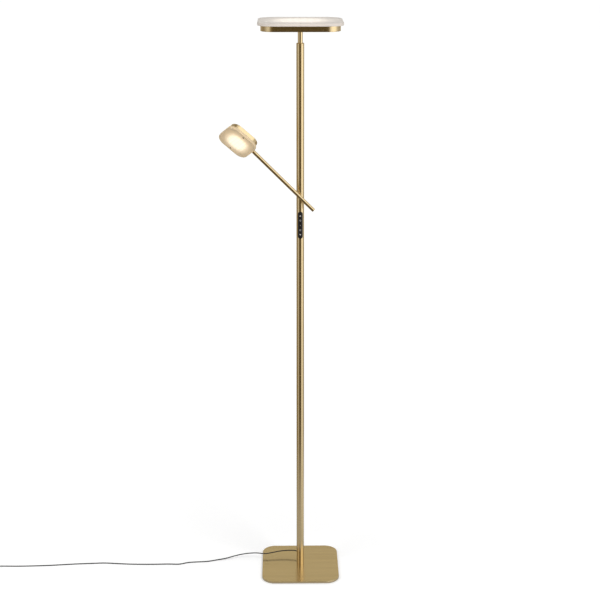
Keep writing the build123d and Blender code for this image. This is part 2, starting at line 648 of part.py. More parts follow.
def control_bezel():
    bezel = panel_block(0, BEZEL_BACK, BEZEL_FRONT)
    hole = rod(BUTTON_RADIUS + BUTTON_SIDE_GAP, BEZEL_BACK, BEZEL_FRONT)
    pocket = rod(BUTTON_RADIUS + BUTTON_FLANGE + BUTTON_SIDE_GAP, BEZEL_BACK, BEZEL_FRONT - BEZEL_LIP)
    for one in at(button_places(), hole + pocket):
        bezel -= one
    for boss in at(panel_screw_places(), rod(PANEL_BOSS_RADIUS, BOARD_DEPTH, BEZEL_BACK)):
        bezel += boss
    hole_end = BOARD_DEPTH - CONTROL_BOARD_THICKNESS + PANEL_SCREW_LENGTH + SEAT_GAP
    for hole in at(panel_screw_places(), rod(PANEL_SCREW_RADIUS + SEAT_GAP, BOARD_DEPTH, hole_end)):
        bezel -= hole
    return FRONT_PANEL * bezel & front_skin(BEZEL_FRONT)


def panel_screw_places():
    return [(0, -PANEL_SCREW_SPACING / 2), (0, PANEL_SCREW_SPACING / 2)]


def control_board():
    back = BOARD_DEPTH - CONTROL_BOARD_THICKNESS
    outline = Rectangle(CONTROL_BOARD_WIDTH, CONTROL_BOARD_LENGTH)
    board = Pos(0, 0, back) * extrude(outline, CONTROL_BOARD_THICKNESS)
    for hole in at(panel_screw_places(), rod(PANEL_SCREW_RADIUS + SEAT_GAP, back, BOARD_DEPTH)):
        board -= hole
    return FRONT_PANEL * board


def control_board_screws():
    back = BOARD_DEPTH - CONTROL_BOARD_THICKNESS
    screw = rod(PANEL_SCREW_HEAD_RADIUS, back - PANEL_SCREW_HEAD_HEIGHT, back)
    screw += rod(PANEL_SCREW_RADIUS, back, back + PANEL_SCREW_LENGTH)
    return [FRONT_PANEL * one for one in at(panel_screw_places(), screw)]


def control_switches():
    switch = Pos(0, 0, BOARD_DEPTH) * Box(SWITCH_SIDE, SWITCH_SIDE, SWITCH_HEIGHT, align=FROM_BOTTOM)
    top = BOARD_DEPTH + SWITCH_HEIGHT
    switch += rod(PLUNGER_RADIUS, top, top + PLUNGER_HEIGHT)
    return [FRONT_PANEL * one for one in at(button_places(), switch)]


def buttons():
    """Five push buttons that a flange keeps behind the bezel's lip."""
    flange_front = BEZEL_FRONT - BEZEL_LIP - SEAT_GAP
    flange_back = flange_front - BUTTON_FLANGE
    stem_tip = BOARD_DEPTH + SWITCH_HEIGHT + PLUNGER_HEIGHT + BUTTON_TRAVEL + SEAT_GAP
    button = rod(BUTTON_RADIUS, flange_front, BEZEL_FRONT + BUTTON_PROUD)
    button += rod(BUTTON_RADIUS + BUTTON_FLANGE, flange_back, flange_front)
    button += rod(BUTTON_STEM_RADIUS, stem_tip, flange_back)
    skin = front_skin(BEZEL_FRONT + BUTTON_PROUD)
    copies = at(button_places(), button)
    return {f"button_{name}": FRONT_PANEL * one & skin for name, one in zip(BUTTON_NAMES, copies)}


# ---------------------------------------------------------------- cord and adapter

def cord_grommet():
    """A rubber grommet in the pole's back, with a short tapered sleeve round the cord."""
    root = POLE_RADIUS + GROMMET_FLANGE
    tip = POLE_RADIUS + GROMMET_REACH
    sleeve = Cone(GROMMET_NECK_RADIUS + SEAT_GAP, GROMMET_TIP_RADIUS, tip - root, align=FROM_BOTTOM)
    outside = rod(GROMMET_RADIUS, GROMMET_INSIDE, root) + Pos(0, 0, root) * sleeve
    pole = rod(POLE_RADIUS, EXIT_Z - 2 * GROMMET_RADIUS, EXIT_Z + 2 * GROMMET_RADIUS)
    grommet = BACK_EXIT * outside - pole
    grommet += BACK_EXIT * rod(GROMMET_NECK_RADIUS, GROMMET_INSIDE, root)
    return grommet - BACK_EXIT * rod(CORD_RADIUS + SEAT_GAP, 0, tip)


def supply_lead():
    """The cord's own run inside the pole, from the grommet's tip up to the control board."""
    screw_head_back = CONTROL_BOARD_THICKNESS + PANEL_SCREW_HEAD_HEIGHT - BOARD_DEPTH
    behind = screw_head_back + SEAT_GAP + CORD_RADIUS
    top = PANEL_Z - PANEL_SCREW_SPACING / 2 + 2 * PANEL_SCREW_HEAD_RADIUS
    points = [(0, POLE_RADIUS + GROMMET_REACH, EXIT_Z), (0, behind, EXIT_Z), (0, behind, top)]
    return cord_tube(points, CORD_RADIUS, [SUPPLY_BEND])[0]


def uplight_lead():
    """The uplight's lead, from the control board past the pivot's stud and up through the neck."""
    start = (0, CONTROL_BOARD_THICKNESS - BOARD_DEPTH + AIR_GAP + UPLIGHT_LEAD_RADIUS,
             PANEL_Z + UPLIGHT_LEAD_START)
    beside = POLE_BORE / 2
    below = PIVOT_Z - UPLIGHT_LEAD_DETOUR
    above = PIVOT_Z + UPLIGHT_LEAD_DETOUR
    centred = above + UPLIGHT_LEAD_CENTRING
    top = UPLIGHT_Z + TRAY_WALL + SINK_HEIGHT + BOARD_THICKNESS
    points = [start, (0, beside, below), (0, beside, above), (0, 0, centred), (0, 0, top)]
    return cord_tube(points, UPLIGHT_LEAD_RADIUS)[0]


def power_cord():
    """The free cord: from the grommet to the coil, and from the coil to the adapter."""
    tubes = []
    for route in (CORD_ROUTE, TAIL_ROUTE):
        tube, length = cord_tube(route, CORD_RADIUS)
        ratio = tube.volume / (pi * CORD_RADIUS ** 2 * length)
        print(f"cord stretch: length {length:.1f}, volume / (section x length) {ratio:.4f}")
        print("  radii", [round(radius, 1) for radius in route_radii(route)])
        tubes.append(tube)
    return tubes


def power_cord_coil():
    half = COIL_COLUMNS * CORD_RADIUS
    coil = pipe(COIL_MEAN_RADIUS + half, COIL_MEAN_RADIUS - half, 0, COIL_LAYERS * 2 * CORD_RADIUS)
    coil = fillet(coil.edges().filter_by(GeomType.CIRCLE), COIL_EDGE_ROUND)
    return Pos(*COIL_CENTRE, 0) * coil


def adapter():
    """The plug-in adapter on the cord's end, lying on its back with its pins up."""
    mouth_x, mouth_y, mouth_z = TAIL_ROUTE[-1]
    near_end = mouth_x - RELIEF_LENGTH
    middle = Pos(near_end - ADAPTER_LENGTH / 2, mouth_y, 0)
    outline = RectangleRounded(ADAPTER_LENGTH, ADAPTER_WIDTH, ADAPTER_CORNER)
    hollow = RectangleRounded(ADAPTER_LENGTH - 2 * ADAPTER_WALL, ADAPTER_WIDTH - 2 * ADAPTER_WALL,
                              ADAPTER_CORNER - ADAPTER_WALL)
    seam = ADAPTER_HEIGHT - ADAPTER_COVER_HEIGHT
    body = extrude(outline, seam)
    body = fillet(outer_edges(body, 0), ADAPTER_EDGE_ROUND) - Pos(0, 0, ADAPTER_WALL) * extrude(hollow, seam)
    cover = Pos(0, 0, seam) * extrude(outline, ADAPTER_COVER_HEIGHT)
    cover = fillet(outer_edges(cover, -1), ADAPTER_EDGE_ROUND)
    cover -= Pos(0, 0, seam) * extrude(hollow, ADAPTER_COVER_HEIGHT - ADAPTER_WALL)
    pin_x = -ADAPTER_LENGTH / 2 + PIN_INSET
    pin_places = [(pin_x, -PIN_SPACING / 2), (pin_x, PIN_SPACING / 2)]
    face = ADAPTER_HEIGHT
    for hole in at(pin_places, rod(PIN_ROOT_RADIUS + SEAT_GAP, seam, face)):
        cover -= hole
    inside = face - ADAPTER_WALL
    pin = fillet(outer_edges(rod(PIN_RADIUS, face, face + PIN_LENGTH), -1), PIN_RADIUS / 2)
    pin += rod(PIN_ROOT_RADIUS, inside, face)
    pin += rod(PIN_FLANGE_RADIUS, inside - PIN_FLANGE_THICKNESS, inside)
    relief = Cone(RELIEF_TIP_RADIUS, RELIEF_ROOT_RADIUS, RELIEF_LENGTH, align=FROM_BOTTOM)
    relief = Pos(mouth_x, mouth_y, mouth_z) * Rot(0, -90, 0) * relief
    return {
        "adapter_body": middle * body + relief,
        "adapter_cover": middle * cover,
        "adapter_pins": [middle * one for one in at(pin_places, pin)],
    }


# ---------------------------------------------------------------- the whole lamp

def lamp():
    """Every piece of the lamp by its name."""
    return {
        "base_plate": base_plate(), "base_pad": base_pad(), **base_fasteners(),
        **poles(), "pole_joiners": pole_joiners(), "pole_top_cap": pole_top_cap(), **neck(), **uplight(),
        "control_bezel": control_bezel(), "control_board": control_board(),
        "control_switches": control_switches(), "control_board_screws": control_board_screws(), **buttons(),
        **pivot(), "arm_tube": arm_tube(), "arm_tail_cap": arm_tail_cap(), "arm_end_bush": arm_end_bush(),
        "reading_lead": reading_lead(), "head_knuckle": head_knuckle(), "knuckle_clip": knuckle_clip(),
        **reading_head(), "reading_hinge_block": reading_hinge_block(), "tilt_pin": tilt_pin(),
        "cord_grommet": cord_grommet(), "supply_lead": supply_lead(), "uplight_lead": uplight_lead(),
        "power_cord": power_cord(), "power_cord_coil": power_cord_coil(), **adapter(),
    }


os.makedirs("parts", exist_ok=True)
for node, piece in lamp().items():
    solids = piece if isinstance(piece, list) else [piece]
    whole = [one for solid in solids for one in solid.solids()]
    export_step(Compound(children=whole) if len(whole) > 1 else whole[0], f"parts/{node}.step")
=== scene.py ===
import json
from math import cos, pi, radians

import bpy
import numpy as np
from bpy.props import FloatProperty, FloatVectorProperty, IntProperty, PointerProperty
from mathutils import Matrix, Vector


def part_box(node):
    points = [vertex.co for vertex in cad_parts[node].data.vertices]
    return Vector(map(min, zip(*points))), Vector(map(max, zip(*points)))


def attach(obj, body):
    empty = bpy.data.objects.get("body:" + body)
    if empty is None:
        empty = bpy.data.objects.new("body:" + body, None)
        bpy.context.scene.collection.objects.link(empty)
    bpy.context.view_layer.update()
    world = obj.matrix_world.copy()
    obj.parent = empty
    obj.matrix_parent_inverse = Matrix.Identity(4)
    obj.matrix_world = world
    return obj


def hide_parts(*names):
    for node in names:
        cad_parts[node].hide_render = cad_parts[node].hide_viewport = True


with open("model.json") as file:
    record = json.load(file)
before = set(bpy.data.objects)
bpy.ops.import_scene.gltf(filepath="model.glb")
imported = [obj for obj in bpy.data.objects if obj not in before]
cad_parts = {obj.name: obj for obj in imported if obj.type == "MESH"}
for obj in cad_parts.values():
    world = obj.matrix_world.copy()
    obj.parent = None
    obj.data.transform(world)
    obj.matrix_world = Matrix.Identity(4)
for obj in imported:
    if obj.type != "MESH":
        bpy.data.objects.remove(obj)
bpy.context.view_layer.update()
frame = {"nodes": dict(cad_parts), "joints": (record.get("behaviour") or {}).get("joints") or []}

bl_info = {
    "name": "Torchiere floor lamp",
    "version": (1, 0, 0),
    "blender": (4, 5, 0),
    "location": "3D View > Sidebar > Lamp",
    "description": "Finishes and small fittings of a brass torchiere with a reading light",
    "category": "Object",
}

MM = 0.001
JOINTS = {joint["name"]: joint for joint in frame["joints"]}
UP = np.array([0.0, 0.0, 1.0])
EAST = np.array([1.0, 0.0, 0.0])
NORTH = np.array([0.0, 1.0, 0.0])

ARM_WAY = tuple(np.cross(JOINTS["arm_pivot"]["axis"], JOINTS["head_swivel"]["axis"]))
BRASS_KINDS = {"base_plate": "flat", "uplight_tray": "tray", "reading_tray": "head",
               "neck_tube": "neck", "arm_tube": "arm", "arm_tail_cap": "arm", "head_knuckle": "arm"}
COIL_LIFT = 0.6 * MM            # room for the strap under the coil
SHARP_BEND = radians(38)        # a steeper bend between two faces is shaded as an edge

# The cord's route from the sleeve's tip to the coil, and from the coil to the adapter, in metres
CORD_RUN = [
    (0, 0.0205, 0.0285), (0, 0.0375, 0.0285), (-0.014, 0.055, 0.0278), (-0.038, 0.058, 0.027),
    (-0.067, 0.057, 0.0256), (-0.096, 0.0495, 0.023), (-0.124, 0.0425, 0.0213),
    (-0.150, 0.053, 0.0206), (-0.188, 0.056, 0.017), (-0.226, 0.052, 0.0106),
    (-0.258, 0.0435, 0.0046), (-0.290, 0.0385, 0.0018), (-0.322, 0.0265, 0.0018),
    (-0.360, 0.0245, 0.0018), (-0.392, 0.0205, 0.0018), (-0.416, 0.0075, 0.0018),
    (-0.454, 0.011, 0.0018), (-0.500, 0.009, 0.0018), (-0.548, 0.0095, 0.0018),
    (-0.594, 0.0115, 0.0018), (-0.636, 0.016, 0.0018), (-0.678, 0.0215, 0.0018),
    (-0.724, 0.018, 0.0018), (-0.776, 0.015, 0.0018), (-0.826, 0.0095, 0.0018),
    (-0.872, 0.005, 0.0018), (-0.922, 0.0025, 0.0018), (-0.972, 0.001, 0.0018),
    (-1.022, 0.0025, 0.0018), (-1.069, 0.0025, 0.0018),
]
CORD_TAIL = [(-1.086, 0.0025, 0.009), (-1.099, 0.0015, 0.0106), (-1.114, -0.0005, 0.013),
             (-1.128, -0.0005, 0.013)]

# The room that gloss sees: brightness by degrees to the right of the front, and its share by
# degrees above the horizon
ROOM_PEAK = 1.5
ROOM_WALLS = [
    (-180, 0.58), (-150, 0.50), (-110, 0.33), (-93, 0.33), (-75, 0.55), (-57, 0.82), (-42, 0.70),
    (-37, 0.34), (-27, 0.17), (-12, 0.10), (12, 0.09), (22, 0.20), (29, 0.75), (37, 1.15),
    (48, 1.42), (72, 1.42), (85, 0.95), (102, 0.54), (125, 0.45), (150, 0.50), (180, 0.58),
]
ROOM_HEIGHTS = [
    (-90, 0.25), (-45, 0.32), (-22, 0.62), (-8, 0.95), (0, 1.0), (6, 0.9), (13, 0.62), (22, 0.66),
    (28, 1.0), (60, 1.0), (75, 0.7), (90, 0.6),
]


# ---------------------------------------------------------------- settings

def length(name, text, default):
    """A setting that is a length in metres."""
    return FloatProperty(name=name, description=text, default=default, unit="LENGTH", precision=5)


def colour(name, text, default):
    """A setting that is a linear colour."""
    return FloatVectorProperty(name=name, description=text, default=default, subtype="COLOR",
                               size=3, min=0.0, max=1.0)


def amount(name, text, default, low=0.0, high=1.0):
    """A setting that is a plain number."""
    return FloatProperty(name=name, description=text, default=default, min=low, max=high)


class FinishSettings(bpy.types.PropertyGroup):
    """Colours and surface values of the lamp's materials."""
    brass: colour("Brass", "Satin brass in full light", (0.86, 0.685, 0.405))
    brass_dark: colour("Brass streaks", "The darker streaks of the brushing", (0.78, 0.60, 0.33))
    plate: colour("Base plate", "Satin brass of the base in full light", (0.86, 0.70, 0.43))
    brass_roughness: amount("Brass roughness", "Blur of the brass", 0.20)
    glow: colour("Glow", "Warm white light in the diffuser", (1.0, 0.96, 0.86))
    uplight_glow: amount("Uplight glow", "Strength at the uplight's middle", 0.38, high=5.0)
    reading_glow: amount("Reading glow", "Strength at the reading light's middle", 0.75, high=5.0)
    uplight_glass: colour("Uplight diffuser", "Frosted plate without light", (0.83, 0.765, 0.70))
    reading_glass: colour("Reading diffuser", "Frosted plate without light", (0.86, 0.69, 0.45))
    bezel: colour("Bezel", "Black plastic of the button panel", (0.010, 0.009, 0.009))
    icon: colour("Symbols", "Printed symbols on the buttons", (0.50, 0.49, 0.47))
    cord: colour("Cord", "Black sheath of the cord", (0.012, 0.012, 0.013))
    adapter: colour("Adapter", "Textured black plastic of the adapter", (0.020, 0.020, 0.021))
    steel: colour("Steel", "Zinc-plated steel", (0.60, 0.61, 0.62))
    screw: colour("Glass screws", "Burnished screws in the diffusers", (0.05, 0.042, 0.035))


class DetailSettings(bpy.types.PropertyGroup):
    """Sizes of the small fittings that are modelled here."""
    cord_diameter: length("Cord", "Diameter of the low-voltage cord", 3.6 * MM)
    coil_radius: length("Coil", "Mean radius of the put-away coil", 21.6 * MM)
    coil_turns: IntProperty(name="Coil turns", description="Turns of the coil", default=4, min=1)
    coil_steps: IntProperty(name="Steps a turn", description="Points in one turn", default=16, min=12)
    tie_width: length("Tie", "Width of the strap round the coil", 7.0 * MM)
    tie_thickness: length("Tie thickness", "Thickness of the strap", 0.5 * MM)
    icon_size: length("Symbols", "Height of a button's symbol", 5.4 * MM)
    icon_stroke: length("Symbol strokes", "Width of a symbol's lines", 0.75 * MM)
    icon_relief: length("Symbol relief", "Height of a symbol above its button", 0.05 * MM)
    relief_ribs: IntProperty(name="Ribs", description="Ribs of a strain relief", default=5, min=2)
    relief_groove: length("Grooves", "Depth between the ribs", 0.45 * MM)
    grip_pitch: length("Grip", "Distance between the adapter's grip grooves", 3.0 * MM)
    grip_depth: length("Grip depth", "Depth of the grip grooves", 0.5 * MM)
    adapter_reach: length("Cord end", "From the adapter's middle to the cord's end", 30.0 * MM)
    uplight_chip_pitch: length("Uplight chips", "Distance between the uplight's chips", 22.0 * MM)
    reading_chip_pitch: length("Reading chips", "Distance between the reading chips", 11.0 * MM)


class StageSettings(bpy.types.PropertyGroup):
    """The camera, the floor and the light."""
    camera_aside: length("Aside", "Camera's place across the view", -0.0512)
    camera_back: length("Back", "Camera's distance in front of the pole", 4.0878)
    camera_height: length("Height", "Camera's height", 2.1776)
    camera_down: FloatProperty(name="Down", description="Downward tilt", default=radians(15.32),
                               subtype="ANGLE")
    camera_turn: FloatProperty(name="Turn", description="Turn to the right", default=radians(0.706),
                               subtype="ANGLE")
    lens: amount("Lens", "Focal length on a 36 mm sensor", 78.43, 10, 300)
    shift: amount("Shift", "Vertical shift of the lens", -0.05, -1, 1)
    floor: colour("Floor", "Pale floor", (0.86, 0.86, 0.86))
    ambient: amount("Ambient", "World light on matt surfaces", 0.55, high=5)


# ---------------------------------------------------------------- shader helpers

def put(tree, kind, inputs=None, **settings):
    """Adds a shader node, sets it up, and gives its inputs values or links."""
    node = tree.nodes.new("ShaderNode" + kind)
    for key, value in settings.items():
        setattr(node, key, value)
    for key, value in (inputs or {}).items():
        if isinstance(value, bpy.types.NodeSocket):
            tree.links.new(value, node.inputs[key])
        else:
            node.inputs[key].default_value = value
    return node


def maths(tree, operation, *values):
    """A Math node's result."""
    return put(tree, "Math", dict(enumerate(values)), operation=operation).outputs[0]


def product(tree, one, other):
    """Two values multiplied."""
    return maths(tree, "MULTIPLY", one, other)


def apart(tree, value, goal):
    """How far a value is from a goal."""
    return maths(tree, "ABSOLUTE", maths(tree, "SUBTRACT", value, goal))


def vectors(tree, operation, *values):
    """A Vector Math node's vector result."""
    return put(tree, "VectorMath", dict(enumerate(values)), operation=operation).outputs[0]


def scaled(tree, vector, factor):
    """A vector times a value."""
    return put(tree, "VectorMath", {0: vector, "Scale": factor}, operation="SCALE").outputs[0]


def times(tint, share):
    """A plain colour times a plain number."""
    return tuple(share * part for part in tint)


def dot(tree, one, other):
    """The dot product of two vectors."""
    node = put(tree, "VectorMath", {0: one, 1: other}, operation="DOT_PRODUCT")
    return node.outputs["Value"]


def ramp(tree, value, stops):
    """A colour ramp through greys, (place, grey) each."""
    node = put(tree, "ValToRGB", {"Fac": value})
    elements = node.color_ramp.elements
    while len(elements) < len(stops):
        elements.new(0.5)
    for element, (place, grey) in zip(elements, stops):
        element.position = place
        element.color = (grey, grey, grey, 1.0)
    return node.outputs["Color"]


def angle_ramp(tree, angle, limit, stops, peak=1.0):
    """Brightness by an angle in degrees between minus and plus the limit, as a share of the peak."""
    places = [((degree + limit) / (2 * limit), level / peak) for degree, level in stops]
    return ramp(tree, remap(tree, angle, -limit, limit), places)


def mix(tree, mask, one, other):
    """A colour between one, at mask 0, and other, at mask 1."""
    node = put(tree, "Mix", data_type="RGBA")
    for socket, value in ((node.inputs[0], mask), (node.inputs[6], one), (node.inputs[7], other)):
        if isinstance(value, bpy.types.NodeSocket):
            tree.links.new(value, socket)
        elif isinstance(value, float):
            socket.default_value = value
        else:
            socket.default_value = (*value, 1.0)
    return node.outputs[2]


def remap(tree, value, low, high, new_low=0.0, new_high=1.0, smooth=False):
    """A value moved from one range to another, held at the new range's ends."""
    kind = "SMOOTHSTEP" if smooth else "LINEAR"
    node = put(tree, "MapRange", {"Value": value, "From Min": low, "From Max": high,
                                  "To Min": new_low, "To Max": new_high}, interpolation_type=kind)
    return node.outputs["Result"]


def noise(tree, vector, scale, detail=3.0, roughness=0.55):
    """A noise texture's grey value."""
    node = put(tree, "TexNoise", {"Vector": vector, "Scale": scale, "Detail": detail,
                                  "Roughness": roughness})
    return node.outputs["Fac"]


def group(name, inputs, outputs, fill):
    """A shader node group with named sockets, built once. fill(tree, source) gives its outputs."""
    if name in bpy.data.node_groups:
        return bpy.data.node_groups[name]
    tree = bpy.data.node_groups.new(name, "ShaderNodeTree")
    for label, kind, default in inputs:
        socket = tree.interface.new_socket(label, in_out="INPUT", socket_type="NodeSocket" + kind)
        socket.default_value = default
    for label, kind in outputs:
        tree.interface.new_socket(label, in_out="OUTPUT", socket_type="NodeSocket" + kind)
    source = tree.nodes.new("NodeGroupInput").outputs
    sink = tree.nodes.new("NodeGroupOutput").inputs
    for label, result in fill(tree, source).items():
        tree.links.new(result, sink[label])
    return tree


def use(tree, made, inputs):
    """A group placed in a material with its own values."""
    return put(tree, "Group", inputs, node_tree=made).outputs


def brushing_group():
    """Brushed grain: noise whose coordinates are stretched along or round one axis."""
    def fill(tree, source):
        reach = dot(tree, source["Vector"], source["Axis"])
        extra = maths(tree, "SUBTRACT", source["Along"], source["Across"])
        push = scaled(tree, source["Axis"], product(tree, reach, extra))
        place = vectors(tree, "ADD", scaled(tree, source["Vector"], source["Across"]), push)
        fine = noise(tree, place, 1.0, 4.0, 0.7)
        broad = noise(tree, place, 0.16, 2.0)
        streaks = maths(tree, "ADD", product(tree, fine, 0.6), product(tree, broad, 0.4))
        return {"Streaks": remap(tree, streaks, 0.3, 0.7), "Height": fine}
    return group("brushed_grain",
                 [("Vector", "Vector", (0, 0, 0)), ("Axis", "Vector", (0, 0, 1)),
                  ("Along", "Float", 10.0), ("Across", "Float", 1000.0)],
                 [("Streaks", "Float"), ("Height", "Float")], fill)


def handling_group():
    """Faint smudges and dust: soft noise at a hand's scale, broken up by a finer one."""
    def fill(tree, source):
        soft = noise(tree, source["Vector"], source["Scale"], 2.0)
        fine = noise(tree, source["Vector"], product(tree, source["Scale"], 14.0), 3.0)
        return {"Smudge": product(tree, remap(tree, soft, 0.45, 0.7), remap(tree, fine, 0.35, 0.65))}
    return group("handling_marks", [("Vector", "Vector", (0, 0, 0)), ("Scale", "Float", 20.0)],
                 [("Smudge", "Float")], fill)


def glow_group():
    """Light in a square diffuser: brightest in the middle, with soft spots over the chips, and a mask
    for the painted shade along its edge.

    The reach from the middle is a rounded square's: each side's offset to the power of squareness,
    added up, and the root taken. The spots are cosine waves with one top to each chip."""
    squareness = 2.6

    def fill(tree, source):
        place = vectors(tree, "SUBTRACT", source["Vector"], source["Centre"])
        sides = [dot(tree, place, source[axis]) for axis in ("Side U", "Side V")]
        powers = [maths(tree, "POWER", maths(tree, "ABSOLUTE", side), squareness) for side in sides]
        reach = maths(tree, "POWER", maths(tree, "ADD", *powers), 1 / squareness)
        share = maths(tree, "DIVIDE", reach, source["Half side"])
        waves = []
        for side in sides:
            turn = maths(tree, "ADD", maths(tree, "DIVIDE", side, source["Pitch"]), 0.5)
            wave = maths(tree, "COSINE", product(tree, turn, 2 * pi))
            waves.append(remap(tree, wave, -1.0, 1.0))
        # the last mask marks the edge, where the diffuser's colour is darkened as painted shade
        return {"Glow": remap(tree, share, source["Core"], source["Fade"], 1.0, 0.0, smooth=True),
                "Spots": product(tree, *waves), "Edge shade": remap(tree, share, 0.93, 1.0)}
    return group("diffuser_glow",
                 [("Vector", "Vector", (0, 0, 0)), ("Centre", "Vector", (0, 0, 0)),
                  ("Side U", "Vector", (1, 0, 0)), ("Side V", "Vector", (0, 1, 0)),
                  ("Half side", "Float", 0.1), ("Core", "Float", 0.2), ("Fade", "Float", 0.9),
                  ("Pitch", "Float", 0.02)],
                 [("Glow", "Float"), ("Spots", "Float"), ("Edge shade", "Float")], fill)


def material(name):
    """A new material: its tree, its Principled shader and the Object coordinates."""
    made = bpy.data.materials.new(name)
    made.use_nodes = True
    tree = made.node_tree
    shader = tree.nodes["Principled BSDF"]
    place = put(tree, "TexCoord").outputs["Object"]
    return made, tree, shader, place


def feed(tree, shader, **values):
    """Sets the shader's sockets, underscores standing for spaces, to values or links."""
    for key, value in values.items():
        socket = shader.inputs[key.replace("_", " ")]
        if isinstance(value, bpy.types.NodeSocket):
            tree.links.new(value, socket)
        elif isinstance(socket.default_value, float):
            socket.default_value = value
        else:
            socket.default_value = (*value, 1.0)


def bumped(tree, height, strength, distance):
    """A Bump node's normal."""
    node = put(tree, "Bump", {"Height": height, "Strength": strength, "Distance": distance})
    return node.outputs[0]


def brushed(tree, place, axis, along, across):
    """The grain's streaks and height at a place, long where the frequency is low."""
    return use(tree, brushing_group(), {"Vector": place, "Axis": axis, "Along": along,
                                        "Across": across})


def ready(name, make, *values):
    """The material of this name, made when it is first asked for."""
    return bpy.data.materials.get(name) or make(name, *values)


# ---------------------------------------------------------------- materials

def brass_material(name, axis, along, across, bright, dark, roughness):
    """Satin brass, brushed so that the grain is long where the frequency is low."""
    made, tree, shader, place = material(name)
    grain = brushed(tree, place, axis, along, across)
    marks = use(tree, handling_group(), {"Vector": place, "Scale": 9.0})
    rough = remap(tree, grain["Streaks"], 0.0, 1.0, roughness + 0.02, roughness - 0.02)
    rough = maths(tree, "ADD", rough, product(tree, marks["Smudge"], 0.07))
    feed(tree, shader, Metallic=1.0, Base_Color=mix(tree, grain["Streaks"], dark, bright),
         Roughness=rough, Normal=bumped(tree, grain["Height"], 0.01, 0.0001))
    return made


def clouded_metal(name, tint, shade, scale, detail, roughness, relief):
    """Metal with a faint cloudy finish, whose darker parts are at the shade of its tint."""
    made, tree, shader, place = material(name)
    cloud = noise(tree, place, scale, detail)
    feed(tree, shader, Metallic=1.0, Base_Color=mix(tree, cloud, times(tint, shade), tint),
         Roughness=remap(tree, cloud, 0.3, 0.7, *roughness), Normal=bumped(tree, cloud, *relief))
    return made


def steel_material():
    """Zinc-plated steel with a faint cloudy plating."""
    tint = bpy.context.scene.lamp_finish.steel
    return ready("zinc_plating", clouded_metal, tint, 0.7, 260.0, 4.0, (0.25, 0.42), (0.15, 0.0001))


def plated_material(name):
    """Bright nickel with faint wear marks along the pins."""
    made, tree, shader, place = material(name)
    grain = brushed(tree, place, (0, 0, 1), 60.0, 2500.0)
    tone = mix(tree, grain["Streaks"], (0.52, 0.50, 0.46), (0.72, 0.70, 0.66))
    feed(tree, shader, Metallic=1.0, Base_Color=tone,
         Roughness=remap(tree, grain["Streaks"], 0.0, 1.0, 0.28, 0.16))
    return made


def burnished_material():
    """Dark burnished steel of the diffusers' screws."""
    tint = bpy.context.scene.lamp_finish.screw
    return ready("burnished_screw", clouded_metal, tint, 0.6, 900.0, 3.0, (0.3, 0.45),
                 (0.1, 0.00005))


def diffuser_material(head, strength, tint, rim_shade, core, fade, pitch):
    """Frosted plate lit from behind. The light fades from core to fade, shares of the half side,
    and the edge is painted in shade: its colour falls to rim_shade's share of the tint where the
    glass rounds away."""
    made, tree, shader, place = material(head + "_diffuser")
    centre, side_u, side_v, half = plate_axes(head)
    glow = use(tree, glow_group(), {
        "Vector": place, "Centre": centre, "Side U": side_u, "Side V": side_v, "Half side": half,
        "Core": core, "Fade": fade, "Pitch": pitch})
    frost = noise(tree, place, 1400.0, 2.0)
    cloud = noise(tree, place, 30.0, 2.0)
    spots = maths(tree, "ADD", 0.8, product(tree, glow["Spots"], 0.2))
    light = product(tree, glow["Glow"], spots)
    warm = mix(tree, light, times(tint, 0.5), bpy.context.scene.lamp_finish.glow)
    pale = mix(tree, remap(tree, cloud, 0.3, 0.7), times(tint, 0.94), tint)
    # painted shade: the base colour darkens along the rounded edge of the glass
    feed(tree, shader, Base_Color=mix(tree, glow["Edge shade"], pale, times(tint, rim_shade)),
         Roughness=remap(tree, frost, 0.3, 0.7, 0.30, 0.42), IOR=1.49, Transmission_Weight=0.2,
         Emission_Color=mix(tree, light, (0.0, 0.0, 0.0), warm), Emission_Strength=strength,
         Normal=bumped(tree, frost, 0.08, 0.00005))
    return made


def plastic_material(name, tint, roughness, grain_scale, grain_depth, gloss=0.5):
    """Moulded plastic with a fine texture and faint handling marks."""
    made, tree, shader, place = material(name)
    marks = use(tree, handling_group(), {"Vector": place, "Scale": 40.0})
    worn = tuple(min(1.0, 1.5 * part + 0.004) for part in tint)
    rough = maths(tree, "ADD", roughness, product(tree, marks["Smudge"], 0.12))
    feed(tree, shader, Base_Color=mix(tree, marks["Smudge"], tint, worn), Roughness=rough,
         Specular_IOR_Level=gloss,
         Normal=bumped(tree, noise(tree, place, grain_scale, 2.0), 0.25, grain_depth))
    return made


def shell_material():
    """Textured plastic of the adapter's case and cover."""
    tint = bpy.context.scene.lamp_finish.adapter
    return ready("adapter_shell", plastic_material, tint, 0.42, 900.0, 0.00012)


def sheath_material(name, tint):
    """Soft sheath of a cord, dulled by dust."""
    made, tree, shader, place = material(name)
    dust = noise(tree, place, 700.0, 4.0)
    tone = mix(tree, remap(tree, dust, 0.45, 0.8), tint, tuple(part + 0.02 for part in tint))
    feed(tree, shader, Base_Color=tone, Roughness=remap(tree, dust, 0.3, 0.7, 0.38, 0.55),
         Normal=bumped(tree, noise(tree, place, 1500.0, 2.0), 0.2, 0.00005))
    return made


def aluminium_material():
    """Pressed aluminium sheet with rolling marks."""
    made, tree, shader, place = material("rolled_aluminium")
    grain = brushed(tree, place, (1, 0, 0), 20.0, 900.0)
    tone = mix(tree, grain["Streaks"], (0.62, 0.62, 0.63), (0.76, 0.76, 0.77))
    feed(tree, shader, Metallic=1.0, Base_Color=tone, Roughness=0.42,
         Normal=bumped(tree, grain["Height"], 0.15, 0.0001))
    return made


